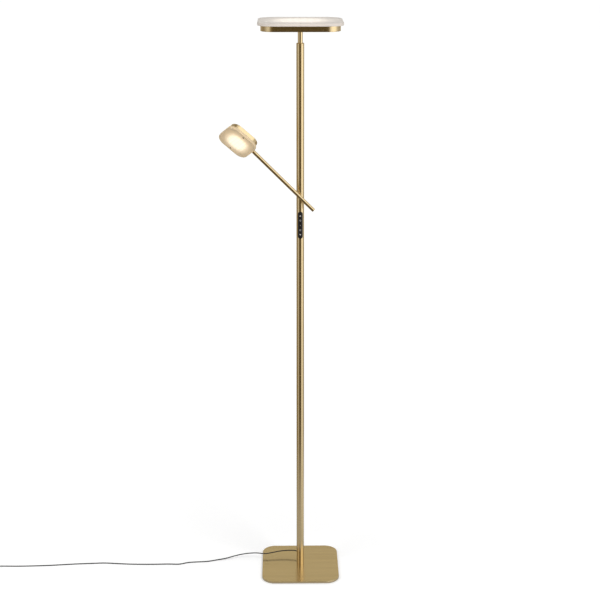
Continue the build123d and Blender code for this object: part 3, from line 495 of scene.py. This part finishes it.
def board_material(name, tint):
    """Solder mask over copper, with the traces just showing as a fine relief."""
    made, tree, shader, place = material(name)
    cells = put(tree, "TexVoronoi", {"Vector": place, "Scale": 260.0}, feature="DISTANCE_TO_EDGE",
                distance="CHEBYCHEV").outputs["Distance"]
    trace = remap(tree, cells, 0.06, 0.10)
    feed(tree, shader, Base_Color=mix(tree, trace, times(tint, 0.75), tint), Roughness=0.35,
         Normal=bumped(tree, trace, 0.3, 0.00008))
    return made


def chip_material():
    """Yellow phosphor of the chips, lit."""
    made, tree, shader, place = material("lit_phosphor")
    cloud = noise(tree, place, 1200.0, 2.0)
    tone = mix(tree, cloud, (0.95, 0.72, 0.22), (1.0, 0.85, 0.40))
    feed(tree, shader, Base_Color=tone, Roughness=0.5, Emission_Color=tone, Emission_Strength=2.0)
    return made


def foam_material():
    """Dark closed-cell foam of the pad under the base."""
    made, tree, shader, place = material("foam_sheet")
    cells = put(tree, "TexVoronoi", {"Vector": place, "Scale": 1100.0}).outputs["Distance"]
    tone = mix(tree, remap(tree, cells, 0.1, 0.6), (0.035, 0.034, 0.033), (0.075, 0.073, 0.07))
    feed(tree, shader, Base_Color=tone, Roughness=0.9, Normal=bumped(tree, cells, 0.5, 0.0003))
    return made


# ---------------------------------------------------------------- measures read from the frame

def vertices(name):
    """All vertices of a CAD node, one row each."""
    mesh = frame["nodes"][name].data
    flat = np.zeros(3 * len(mesh.vertices), np.float32)
    mesh.vertices.foreach_get("co", flat)
    return flat.reshape(-1, 3).astype(float)


def corners(name):
    """The low and the high corner of a CAD node's box."""
    low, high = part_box(name)
    return np.array(low), np.array(high)


def middle(name):
    """The middle of a CAD node's box."""
    return sum(corners(name)) / 2


def head_axes(head):
    """Two unit vectors along a head's sides and one out of its glass. The reading head's second is
    its tilt joint's axis, and its third the direction in which its glass is thinnest."""
    if head == "uplight":
        return EAST, NORTH, UP
    side_v = np.array(JOINTS["head_tilt"]["axis"], float)
    glass, tray = vertices("reading_glass"), vertices("reading_tray")
    normal = np.linalg.svd(glass - glass.mean(axis=0), full_matrices=False)[2][2]
    normal *= np.sign(normal @ (glass.mean(axis=0) - tray.mean(axis=0)))
    return np.cross(side_v, normal), side_v, normal


def plate_axes(head):
    """A diffuser's centre, its two side directions and half its side."""
    axes = head_axes(head)
    points = vertices(head + "_glass")
    centre = sum(((points @ axis).min() + (points @ axis).max()) / 2 * axis for axis in axes)
    side_u, side_v, _ = axes
    return tuple(centre), tuple(side_u), tuple(side_v), float(np.ptp(points @ side_v) / 2)


# ---------------------------------------------------------------- mesh helpers

def skin(name, stacks, body, made, looped=False, smooth=True):
    """One piece from stacks of rings, each of shape (rings, points, 3) and joined by quads.

    Every ring is closed. Where looped, a stack's last ring is joined to its first, else the first
    and the last ring are each filled by one face. The sign of the volume that the quads enclose, a
    sum of triple products of their corners, tells whether a stack's faces have to be turned."""
    places, faces, base = [], [], 0
    for rings in stacks:
        count, around = rings.shape[:2]
        first = np.arange(count if looped else count - 1)[:, None]
        step = np.arange(around)[None, :]
        after, following = (step + 1) % around, (first + 1) % count
        quads = np.stack([first * around + step, first * around + after,
                          following * around + after, following * around + step], axis=-1)
        quads = quads.reshape(-1, 4)
        stack = quads.tolist()
        if not looped:
            stack += [list(range(around))[::-1], [(count - 1) * around + i for i in range(around)]]
        points = rings.reshape(-1, 3)
        ends = (points - points.mean(axis=0))[quads]
        volume = sum(np.sum(ends[:, 0] * np.cross(ends[:, i], ends[:, i + 1])) for i in (1, 2))
        faces += [[base + i for i in (face[::-1] if volume < 0 else face)] for face in stack]
        places.append(points)
        base += len(points)
    mesh = bpy.data.meshes.new(name)
    mesh.from_pydata(np.concatenate(places).tolist(), [], faces)
    mesh.validate()
    if smooth:
        mesh.shade_smooth()
        mesh.set_sharp_from_angle(angle=SHARP_BEND)
    piece = bpy.data.objects.new(name, mesh)
    bpy.context.scene.collection.objects.link(piece)
    mesh.materials.append(made)
    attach(piece, body)
    return piece


def turned(profile, origin, out, across, around=48, hexagon=None):
    """Rings of a turned shape: profile rows are (radius, reach), revolved about out through origin.

    Where hexagon gives 1 for a row, its ring is a hexagon of that inner radius, the radius at an
    angle being the inner radius over the cosine of the angle to the nearest flat's middle."""
    profile = np.asarray(profile, float)
    angle = np.arange(around) * 2 * pi / around
    from_flat = (angle + pi / 6) % (pi / 3) - pi / 6
    stretch = np.ones((len(profile), around))
    if hexagon is not None:
        share = np.asarray(hexagon, float)[:, None]
        stretch = 1 - share + share / np.cos(from_flat)[None, :]
    other = np.cross(out, across)
    circle = np.cos(angle)[:, None] * across + np.sin(angle)[:, None] * other
    radius = (profile[:, 0, None] * stretch)[:, :, None]
    return np.asarray(origin) + profile[:, 1, None, None] * out + radius * circle[None]


def outline(width, depth, corner, along=2, beside=2, round_steps=6):
    """A rounded rectangle's points and outward directions, anticlockwise, with the given number of
    points on its straight sides and round_steps + 1 on each quarter circle."""
    points, facing = [], []
    half = np.array([width / 2 - corner, depth / 2 - corner])
    quarters = (((1, 1), along), ((-1, 1), beside), ((-1, -1), along), ((1, -1), beside))
    for quarter, (sign, count) in enumerate(quarters):
        bend = quarter * pi / 2 + np.linspace(0, pi / 2, round_steps + 1)
        ways = np.column_stack([np.cos(bend), np.sin(bend)])
        curve = half * sign + corner * ways
        goal = half * quarters[(quarter + 1) % 4][0] + corner * ways[-1]
        share = np.linspace(0, 1, count + 1)[1:-1, None]
        points += [curve, curve[-1] + share * (goal - curve[-1])]
        facing += [ways, np.repeat(ways[-1:], count - 1, axis=0)]
    return np.concatenate(points), np.concatenate(facing)


def ribbed(detail, start, end, reach):
    """Profile rows of a ribbed taper: the radius goes evenly from start to end, less a cosine wave
    with one turn to each rib, as deep as the groove."""
    share = np.linspace(0, 1, 10 * detail.relief_ribs + 1)
    wave = (1 - np.cos(2 * pi * detail.relief_ribs * share)) / 2 * detail.relief_groove
    return np.column_stack([start + share * (end - start) - wave, share * reach])


# ---------------------------------------------------------------- operators

class MakeStage(bpy.types.Operator):
    """Camera, pale floor, soft lamps and the surroundings that the brass reflects"""
    bl_idname = "lamp.make_stage"
    bl_label = "Stage"

    def execute(self, context):
        stage = context.scene.lamp_stage
        self.camera(context, stage)
        self.floor(context, stage)
        self.surroundings(context, stage)
        self.lamps(context)
        context.scene.view_settings.view_transform = "Standard"
        return {"FINISHED"}

    def camera(self, context, stage):
        """A camera in front of the lamp that looks down on it a little."""
        lens = bpy.data.cameras.new("camera")
        lens.lens = stage.lens
        lens.shift_y = stage.shift
        camera = bpy.data.objects.new("camera", lens)
        camera.location = (stage.camera_aside, -stage.camera_back, stage.camera_height)
        camera.rotation_euler = (pi / 2 - stage.camera_down, 0, -stage.camera_turn)
        context.scene.collection.objects.link(camera)
        context.scene.camera = camera

    def floor(self, context, stage):
        """A flat square that matt surfaces and the camera see whole, and gloss sees only near by.

        The camera also sees a lift that makes up for the lamps' light falling off with distance.
        Distances are in metres from the pole, and strengths are shares of white."""
        reach = 40.0
        lift_near, lift_far, sheen_left, sheen_right = 0.25, 0.56, 0.42, 0.60
        ends = [(-reach, -reach, 0), (reach, -reach, 0), (reach, reach, 0), (-reach, reach, 0)]
        mesh = bpy.data.meshes.new("floor")
        mesh.from_pydata(ends, [], [(0, 1, 2, 3)])
        floor = bpy.data.objects.new("floor", mesh)
        context.scene.collection.objects.link(floor)
        made = bpy.data.materials.new("pale_floor")
        made.use_nodes = True
        tree = made.node_tree
        tree.nodes.clear()

        def light(strength):
            return put(tree, "Emission", {"Color": (1, 1, 1, 1), "Strength": strength}).outputs[0]

        def either(share, one, other):
            return put(tree, "MixShader", {"Fac": share, 1: one, 2: other}).outputs[0]

        place = put(tree, "TexCoord").outputs["Object"]
        away = put(tree, "VectorMath", {0: place}, operation="LENGTH").outputs["Value"]
        across = put(tree, "SeparateXYZ", {0: place}).outputs["X"]
        rays = put(tree, "LightPath").outputs
        paint = put(tree, "BsdfDiffuse", {"Color": (*stage.floor, 1.0)}).outputs[0]
        lift = light(remap(tree, away, 0.3, 3.0, lift_near, lift_far))
        lifted = put(tree, "AddShader", {0: paint, 1: lift}).outputs[0]
        sheen = light(remap(tree, across, 0.0, 0.35, sheen_left, sheen_right, smooth=True))
        seen = either(rays["Is Camera Ray"], paint, lifted)
        seen = either(rays["Is Glossy Ray"], seen, sheen)
        far = product(tree, remap(tree, away, 0.35, 1.3, smooth=True), rays["Is Glossy Ray"])
        whole = either(far, seen, put(tree, "BsdfTransparent").outputs[0])
        put(tree, "OutputMaterial", {"Surface": whole})
        mesh.materials.append(made)

    def surroundings(self, context, stage):
        """White to the eye and through glass, and an even grey to matt surfaces. Gloss sees a room:
        walls with a dim, warm front, a soft box to the right of it, a pale strip across the front,
        a warm upper rear, and a white sweep low at the rear. Bearings and rises are in degrees."""
        box_bearing, strip_rise = 38.0, 17.0
        dim_tint, rear_tint, white = (1.0, 0.76, 0.34), (0.95, 0.86, 0.62), (1.0, 1.0, 1.0)
        world = bpy.data.worlds.new("studio")
        context.scene.world = world
        world.use_nodes = True
        tree = world.node_tree
        tree.nodes.clear()
        toward = put(tree, "TexCoord").outputs["Generated"]
        parts = put(tree, "SeparateXYZ", {0: toward}).outputs
        forward = product(tree, parts["Y"], -1.0)
        bearing = maths(tree, "DEGREES", maths(tree, "ARCTAN2", parts["X"], forward))
        rise = maths(tree, "DEGREES", maths(tree, "ARCSINE", parts["Z"]))
        aside = maths(tree, "ABSOLUTE", bearing)

        wall = angle_ramp(tree, bearing, 180.0, ROOM_WALLS, ROOM_PEAK)
        room = product(tree, wall, angle_ramp(tree, rise, 90.0, ROOM_HEIGHTS))
        room = product(tree, room, ROOM_PEAK)

        width = remap(tree, apart(tree, bearing, box_bearing), 18.0, 34.0, 0.95, 0.0, smooth=True)
        soft_box = product(tree, width, remap(tree, rise, -1.0, 7.0, smooth=True))
        width = remap(tree, aside, 40.0, 70.0, 0.42, 0.0, smooth=True)
        height = remap(tree, apart(tree, rise, strip_rise), 3.0, 8.0, 1.0, 0.0, smooth=True)
        room = maths(tree, "MAXIMUM", room, soft_box)
        room = maths(tree, "MAXIMUM", room, product(tree, width, height))

        dim = vectors(tree, "MULTIPLY", room, dim_tint)
        room = mix(tree, remap(tree, room, 0.15, 0.5), dim, room)
        rear = remap(tree, aside, 148.0, 160.0, smooth=True)
        upper = product(tree, rear, remap(tree, rise, 12.0, 22.0, smooth=True))
        room = mix(tree, upper, room, vectors(tree, "MULTIPLY", room, rear_tint))
        level = remap(tree, maths(tree, "ABSOLUTE", rise), 10.0, 22.0, 1.0, 0.0, smooth=True)
        room = mix(tree, product(tree, rear, level), room, white)

        rays = put(tree, "LightPath").outputs
        seen = mix(tree, rays["Is Glossy Ray"], (stage.ambient,) * 3, room)
        clear = maths(tree, "MAXIMUM", rays["Is Camera Ray"], rays["Is Transmission Ray"])
        seen = mix(tree, clear, seen, white)
        put(tree, "OutputWorld", {"Surface": put(tree, "Background", {"Color": seen}).outputs[0]})

    def lamps(self, context):
        """Two big soft lamps in front, out of gloss's sight, which has the room instead."""
        target, size = np.array([0.0, 0.0, 0.7]), 1.8
        for name, place, power in (("key_lamp", (2.2, -2.2, 3.4), 70.0),
                                   ("fill_lamp", (-2.6, -1.8, 2.8), 34.0)):
            light = bpy.data.lights.new(name, "AREA")
            light.shape = "DISK"
            light.size = size
            light.energy = power
            lamp = bpy.data.objects.new(name, light)
            lamp.location = place
            aim = target - np.array(place)
            lamp.rotation_euler = (np.arctan2(np.hypot(aim[0], aim[1]), -aim[2]), 0,
                                   np.arctan2(aim[1], aim[0]) - pi / 2)
            lamp.visible_glossy = False
            context.scene.collection.objects.link(lamp)


class MakeCord(bpy.types.Operator):
    """The low-voltage cord, over the base, along the floor and round its coil to the adapter"""
    bl_idname = "lamp.make_cord"
    bl_label = "Cord"

    def execute(self, context):
        detail = context.scene.lamp_detail
        end = CORD_TAIL[-1]
        inside = (middle("adapter_cover")[0] + detail.adapter_reach, end[1], end[2])
        points = np.array(CORD_RUN + self.coil(detail) + CORD_TAIL + [inside])
        curve = bpy.data.curves.new("power_cord_sheath", "CURVE")
        curve.dimensions = "3D"
        curve.bevel_depth = detail.cord_diameter / 2
        curve.bevel_resolution = 3
        curve.resolution_u = 8
        curve.use_fill_caps = True
        spline = curve.splines.new("NURBS")
        spline.points.add(len(points) - 1)
        spline.points.foreach_set("co", np.column_stack([points, np.ones(len(points))]).ravel())
        spline.order_u = 3
        spline.use_endpoint_u = True
        cord = bpy.data.objects.new("power_cord_sheath", curve)
        context.scene.collection.objects.link(cord)
        curve.materials.append(sheath_material("cord_sheath", context.scene.lamp_finish.cord))
        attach(cord, "root")
        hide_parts("power_cord", "power_cord_coil")
        return {"FINISHED"}

    def coil(self, detail):
        """Turns wound clockwise from the front, in two columns that climb in three layers.

        At angle a the cord is at the column's radius and the layer's height. Each change of place
        takes 60 degrees, and comes 60 degrees earlier in each turn, so that no two turns meet."""
        d = detail.cord_diameter
        first_change, between, change, climb = (radians(part) for part in (270, 300, 60, 40))
        moves = np.array([(-d, 0), (0, d), (d, 0), (0, d)])     # outwards and upwards
        centre = middle("power_cord_coil")
        step = 2 * pi / detail.coil_steps
        angle = np.arange(1, detail.coil_turns * detail.coil_steps + 1) * step
        start = first_change + between * np.arange(len(moves))
        share = np.clip((angle[:, None] - start) / change, 0, 1)
        share = share * share * (3 - 2 * share)
        radius = (detail.coil_radius + d / 2 + share @ moves[:, 0]) / cos(step / 2)
        height = CORD_RUN[-1][2] + COIL_LIFT * np.clip(angle / climb, 0, 1) + share @ moves[:, 1]
        return np.column_stack([centre[0] - radius * np.sin(angle),
                                centre[1] - radius * np.cos(angle), height]).tolist()


class MakeSleeve(bpy.types.Operator):
    """The ribbed rubber sleeve where the cord leaves the pole, and the strap round the coil"""
    bl_idname = "lamp.make_sleeve"
    bl_label = "Sleeve and strap"

    def execute(self, context):
        detail = context.scene.lamp_detail
        rubber = sheath_material("soft_rubber", context.scene.lamp_finish.cord)
        self.sleeve(detail, rubber)
        self.strap(detail, rubber)
        return {"FINISHED"}

    def sleeve(self, detail, rubber):
        """A turned sleeve with a ribbed taper. Its flange's back lies on the pole: there the reach
        is the root of the pole's radius squared less the offset squared."""
        play, step, edge, thickness = 0.05 * MM, 0.1 * MM, 0.4 * MM, 1.5 * MM
        neck, tip = 3.2 * MM, 2.6 * MM
        low, high = corners("cord_grommet")
        pole = np.ptp(corners("lower_pole"), axis=0)[0] / 2
        flange = (high[0] - low[0]) / 2
        bore = detail.cord_diameter / 2 + play
        front, root = high[1], pole + thickness
        rows = np.concatenate([
            [(bore, low[1]), (neck, low[1]), (neck, pole), (flange, pole), (flange, root - edge),
             (flange - edge, root)],
            ribbed(detail, neck + step, tip + step, front - root) + (0, root), [(bore, front)]])
        exit_height = (low[2] + high[2]) / 2
        rings = turned(rows, (0, 0, exit_height), NORTH, EAST, around=40)
        rings[2:4, :, 1] = np.sqrt(pole ** 2 - rings[2:4, :, 0] ** 2)
        piece = skin("cord_sleeve", [rings], "root", rubber, looped=True)
        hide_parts("cord_grommet")

    def strap(self, detail, rubber):
        """A flat band swept round two columns and two layers of the coil. Its place is turned
        clockwise from the coil's front."""
        gap, edge, turn = 0.05 * MM, 0.2 * MM, radians(50)
        d, thick = detail.cord_diameter, detail.tie_thickness
        radial = np.array([-np.sin(turn), -np.cos(turn), 0])
        along = np.array([-np.cos(turn), np.sin(turn), 0])
        height = CORD_RUN[-1][2] + COIL_LIFT + d / 2
        centre = np.append(middle("power_cord_coil")[:2], height) + detail.coil_radius * radial
        side = 2 * d + 2 * gap + thick
        across, facing = outline(side, side, d / 2 + gap + thick / 2, along=6, beside=6)
        section, _ = outline(thick, detail.tie_width, edge, round_steps=3)
        plane = np.stack([radial, UP])
        rings = (centre + (across @ plane)[:, None] + section[None, :, :1] * (facing @ plane)[:, None]
                 + section[None, :, 1:] * along)
        skin("coil_strap", [rings], "root", rubber, looped=True)


class MakeAdapter(bpy.types.Operator):
    """The plug-in adapter's case with grips, its ribbed relief and its sleeved pins"""
    bl_idname = "lamp.make_adapter"
    bl_label = "Adapter"

    def execute(self, context):
        finish, detail = context.scene.lamp_finish, context.scene.lamp_detail
        shell = shell_material()
        low, high = corners("adapter_cover")
        self.case(detail, shell, low, high)
        self.relief(detail, shell, high)
        self.pins(finish, high)
        return {"FINISHED"}

    def case(self, detail, shell, low, high):
        """Outlines stacked in height: the lower edge's inset follows a quarter circle, the grips are
        cosine waves along the long sides, and the last outline steps in to leave the parting line."""
        corner, edge, grip_reach, grip_margin, grip_fade = 5 * MM, 1.5 * MM, 15 * MM, 4 * MM, MM
        parting_edge, parting_low, parting_high = 0.5 * MM, 0.45 * MM, 0.02 * MM
        parting_inset = 0.35 * MM
        wide, deep = high[:2] - low[:2]
        seam = low[2]
        points, facing = outline(wide, deep, corner, along=132, beside=4)
        bend = np.linspace(0, pi / 2, 5)
        rows = [(0.0, edge)] + [(edge - edge * cos(a), edge * (1 - np.sin(a))) for a in bend[1:]]
        rows += [(z, 0.0) for z in np.linspace(edge * 2, seam - parting_edge, 22)]
        rows += [(seam - parting_low, parting_inset), (seam - parting_high, parting_inset)]
        rows = np.array(rows)
        along = np.clip((grip_reach - np.abs(points[:, 0])) / grip_fade, 0, 1)
        along = along * (np.abs(facing[:, 1]) > 0.99)
        waves = (1 - np.cos(2 * pi * points[:, 0] / detail.grip_pitch)) / 2 * along
        inner = np.minimum(rows[:, 0] - grip_margin, seam - grip_margin - rows[:, 0])
        tall = np.clip(inner / grip_fade, 0, 1)
        inset = rows[:, 1, None] + tall[:, None] * waves[None] * detail.grip_depth
        flat = points[None] - inset[:, :, None] * facing[None] + (low[:2] + high[:2]) / 2
        rings = np.dstack([flat, np.repeat(rows[:, :1], len(points), axis=1)])
        piece = skin("adapter_case", [rings], "root", shell)
        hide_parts("adapter_body")

    def relief(self, detail, shell, high):
        """A turned, ribbed taper from the case to the cord."""
        play, root, tip, sunk = 0.02 * MM, 3.6 * MM, 2.5 * MM, -1 * MM
        end = np.array(CORD_TAIL[-1])
        reach = end[0] - high[0]
        bore = detail.cord_diameter / 2 + play
        rows = np.concatenate([[(bore, sunk), (root, sunk)], ribbed(detail, root, tip, reach),
                               [(bore, reach)]])
        rings = turned(rows, (high[0], end[1], end[2]), EAST, UP, around=36)
        skin("adapter_relief", [rings], "root", shell, looped=True)

    def pins(self, finish, high):
        """Turned pins: a black sleeve that stands on the cover and a bright tip with a round end."""
        radius, sleeved = 2.0 * MM, 10 * MM
        waist, fit, collar = radius * 0.9, radius * 0.985, radius * 1.2
        points = vertices("adapter_pins")
        top, cover = points[:, 2].max(), high[2]
        step = cover + sleeved
        bend = np.linspace(0, pi / 2, 6)[:-1]
        tip = [(radius * cos(a), top - radius + radius * np.sin(a)) for a in bend]
        bright = [(waist, step - MM), (fit, step), *tip, (0.05 * MM, top)]
        black = [(collar, cover - MM), (collar, cover + MM), (radius, cover + 2 * MM),
                 (radius, step - 0.1 * MM), (waist, step)]
        behind = points[:, 1] > points[:, 1].mean()
        feet = []
        for part in (points[~behind], points[behind]):
            feet.append(np.append((part[:, :2].min(axis=0) + part[:, :2].max(axis=0)) / 2, 0.0))
        tips, sleeves = ([turned(rows, foot, UP, EAST, around=32) for foot in feet]
                         for rows in (bright, black))
        nickel = ready("nickel_plating", plated_material)
        tips = skin("pin_tips", tips, "root", nickel)
        sheath = sheath_material("pin_sleeving", finish.cord)
        skin("pin_sleeves", sleeves, "root", sheath)
        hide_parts("adapter_pins")


class MakeScrews(bpy.types.Operator):
    """Socket screws: two in each diffuser and the bolt under the base"""
    bl_idname = "lamp.make_screws"
    bl_label = "Screws"

    def execute(self, context):
        dark = burnished_material()
        for head, body in (("uplight", "root"), ("reading", "reading_head")):
            side_u, side_v, normal = head_axes(head)
            points = vertices(head + "_glass_screws")
            offset = points @ side_v - (points @ side_v).mean()
            stacks = []
            for part in (points[offset < 0], points[offset > 0]):
                place = sum(((part @ axis).max() + (part @ axis).min()) / 2 * axis
                            for axis in (side_u, side_v))
                stacks.append(self.screw(place, normal, side_u, (part @ normal).max(),
                                         (part @ normal).min(), head=2.5 * MM, height=2.0 * MM,
                                         shank=1.3 * MM, socket=1.0 * MM))
            piece = skin(head + "_socket_screws", stacks, body, dark)
            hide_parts(head + "_glass_screws")
        low, high = corners("base_bolt")
        bolt = self.screw(np.zeros(3), -UP, EAST, -low[2], -high[2], head=(high[0] - low[0]) / 2,
                          height=2.2 * MM, shank=4.0 * MM, socket=2.5 * MM)
        piece = skin("base_socket_bolt", [bolt], "root", steel_material())
        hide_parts("base_bolt")
        return {"FINISHED"}

    def screw(self, place, out, across, top, bottom, head, height, shank, socket):
        """Turned from the tip up the shank and head, then down a six-sided socket to the point of
        the drilled hole under it."""
        edge, depth, drilled = 0.12 * height, 0.62 * height, 0.7 * height
        rows = [(0.6 * shank, bottom), (shank, bottom + 0.4 * shank), (shank, top - height),
                (head, top - height), (head, top - edge), (head - edge, top), (socket + edge, top),
                (socket, top - edge), (socket, top - depth), (0.02 * socket, top - drilled)]
        return turned(rows, place, out, across, hexagon=[0] * 7 + [1, 1, 0])


class MakeSymbols(bpy.types.Operator):
    """Printed symbols on the five buttons: up, power, bar, ring and down"""
    bl_idname = "lamp.make_symbols"
    bl_label = "Button symbols"

    def execute(self, context):
        finish, detail = context.scene.lamp_finish, context.scene.lamp_detail
        ink = plastic_material("symbol_ink", finish.icon, 0.5, 2500.0, 0.00002)
        size = detail.icon_size / 2
        ring, gap = 0.86 * size, 35     # the rings' radius, and half the power ring's gap in degrees
        drawn = {
            "brighter": [self.triangle(size, 1)],
            "power": [self.arc(ring, 90 + gap, 450 - gap, detail),
                      self.bar((0, 0.25 * size), (0, 1.1 * size), detail)],
            "colour": [self.bar((-0.7 * size, 0), (0.7 * size, 0), detail)],
            "reading": [self.arc(ring, 0, 360, detail)],
            "dimmer": [self.triangle(size, -1)],
        }
        for button, shapes in drawn.items():
            front = -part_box("button_" + button)[0][1]
            height = middle("button_" + button)[2]
            stacks = [self.wrap(shape, front, height, detail.icon_relief) for shape in shapes]
            skin("symbol_" + button, stacks, "button_" + button, ink, smooth=False)
        return {"FINISHED"}

    def triangle(self, size, way):
        """Rows across a triangle: the half width falls evenly from its foot to its tip."""
        taper, tall, foot = 0.97, 1.6, 0.7
        share = np.linspace(0, 1, 12)
        half = size * (1 - taper * share)
        across = np.linspace(-1, 1, 11)
        u = half[:, None] * across[None]
        v = np.repeat((way * size * (tall * share - foot))[:, None], len(across), axis=1)
        return np.stack([u, v], axis=-1)

    def stroke(self, path, detail):
        """Rows of two points, half a stroke to each side of a path."""
        path = np.asarray(path, float)
        run = np.gradient(path, axis=0)
        run /= np.linalg.norm(run, axis=1)[:, None]
        side = np.column_stack([-run[:, 1], run[:, 0]]) * detail.icon_stroke / 2
        return np.stack([path - side, path, path + side], axis=1)

    def arc(self, radius, start, end, detail):
        """A stroke along part of a circle, angles in degrees from the right, anticlockwise."""
        angle = np.radians(np.linspace(start, end, 49))
        return self.stroke(np.column_stack([radius * np.cos(angle), radius * np.sin(angle)]), detail)

    def bar(self, start, end, detail):
        """A straight stroke."""
        return self.stroke(np.linspace(start, end, 9), detail)

    def wrap(self, shape, front, height, relief):
        """A flat drawing bent round the pole's axis: the angle is the sideways offset over the
        radius. Its face stands above the button's front and its back lies below it."""
        layers = []
        for radius, flat in ((front + relief, shape), (front - 2 * relief, shape[:, ::-1])):
            angle = flat[..., 0] / front
            layers.append(np.stack([radius * np.sin(angle), -radius * np.cos(angle),
                                    height + flat[..., 1]], axis=-1))
        return np.concatenate(layers, axis=1)


class ApplyFinishes(bpy.types.Operator):
    """Gives every CAD piece that is still shown its finish, by its material slot"""
    bl_idname = "lamp.apply_finishes"
    bl_label = "Finishes"

    def execute(self, context):
        finish, detail = context.scene.lamp_finish, context.scene.lamp_detail
        tones, rough = (finish.brass, finish.brass_dark), finish.brass_roughness
        plate_tones = (finish.plate, times(finish.plate, 0.8))
        out = tuple(head_axes("reading")[2])
        # the grain's axis, its frequencies along and across it, the two tones and the roughness
        brasses = {kind: brass_material("brass_" + kind, *values) for kind, values in {
            "upright": ((0, 0, 1), 2200.0, 40.0, *tones, rough),
            "arm": (ARM_WAY, 2200.0, 60.0, *tones, rough),
            "flat": ((1, 0, 0), 5.0, 400.0, *plate_tones, rough + 0.01),
            "neck": ((0, 0, 1), 2200.0, 40.0, *tones, rough - 0.11),
            "tray": ((0, 0, 1), 1800.0, 30.0, *tones, rough),
            "head": (out, 1800.0, 40.0, *tones, rough),
        }.items()}
        panel = plastic_material("panel_plastic", finish.bezel, 0.30, 1300.0, 0.00005, gloss=0.3)
        cap = plastic_material("button_cap", finish.bezel, 0.42, 1300.0, 0.00008, gloss=0.3)
        by_slot = {
            "zinc_steel": steel_material(), "aluminium_sheet": aluminium_material(),
            "white_board": board_material("white_mask", (0.80, 0.80, 0.78)),
            "green_board": board_material("green_mask", (0.02, 0.16, 0.06)),
            "led_phosphor": chip_material(), "foam_pad": foam_material(),
            "black_plastic": panel, "button_plastic": cap, "adapter_plastic": shell_material(),
            "black_rubber": sheath_material("lead_sheath", finish.cord),
            "white_lead": sheath_material("white_sheath", (0.72, 0.72, 0.70)),
            "nickel_pins": ready("nickel_plating", plated_material),
        }
        # rim_shade is the painted shade on each diffuser's edge, as a share of its tint
        by_name = {
            "uplight_glass": diffuser_material(
                "uplight", finish.uplight_glow, finish.uplight_glass, rim_shade=0.93, core=0.36,
                fade=0.98, pitch=detail.uplight_chip_pitch),
            "reading_glass": diffuser_material(
                "reading", finish.reading_glow, finish.reading_glass, rim_shade=0.90, core=0.36,
                fade=0.95, pitch=detail.reading_chip_pitch),
        }
        for name, node in frame["nodes"].items():
            slot = node.data.materials[0].name
            brass = brasses[BRASS_KINDS.get(name, "upright")]
            node.data.materials.clear()
            node.data.materials.append(by_slot.get(slot) or by_name.get(name) or brass)
        return {"FINISHED"}


class LampPanel(bpy.types.Panel):
    """The lamp's settings and the operators in their order"""
    bl_idname = "VIEW3D_PT_torchiere"
    bl_label = "Torchiere lamp"
    bl_space_type = "VIEW_3D"
    bl_region_type = "UI"
    bl_category = "Lamp"

    def draw(self, context):
        scene = context.scene
        fittings = (MakeCord, MakeSleeve, MakeAdapter, MakeScrews, MakeSymbols)
        for settings, makers in ((scene.lamp_stage, (MakeStage,)), (scene.lamp_detail, fittings),
                                 (scene.lamp_finish, (ApplyFinishes,))):
            column = self.layout.column(align=True)
            for name in settings.__annotations__:
                column.prop(settings, name)
            for maker in makers:
                column.operator(maker.bl_idname)


SETTINGS = {"lamp_finish": FinishSettings, "lamp_detail": DetailSettings, "lamp_stage": StageSettings}
CLASSES = (*SETTINGS.values(), MakeStage, MakeCord, MakeSleeve, MakeAdapter, MakeScrews, MakeSymbols,
           ApplyFinishes, LampPanel)


def register():
    for cls in CLASSES:
        bpy.utils.register_class(cls)
    for name, cls in SETTINGS.items():
        setattr(bpy.types.Scene, name, PointerProperty(type=cls))


def unregister():
    for name in SETTINGS:
        delattr(bpy.types.Scene, name)
    for cls in reversed(CLASSES):
        bpy.utils.unregister_class(cls)


def main():
    register()
    bpy.ops.lamp.make_stage()
    bpy.ops.lamp.make_cord()
    bpy.ops.lamp.make_sleeve()
    bpy.ops.lamp.make_adapter()
    bpy.ops.lamp.make_screws()
    bpy.ops.lamp.make_symbols()
    bpy.ops.lamp.apply_finishes()
    bpy.context.view_layer.update()


if __name__ == "__main__":
    main()
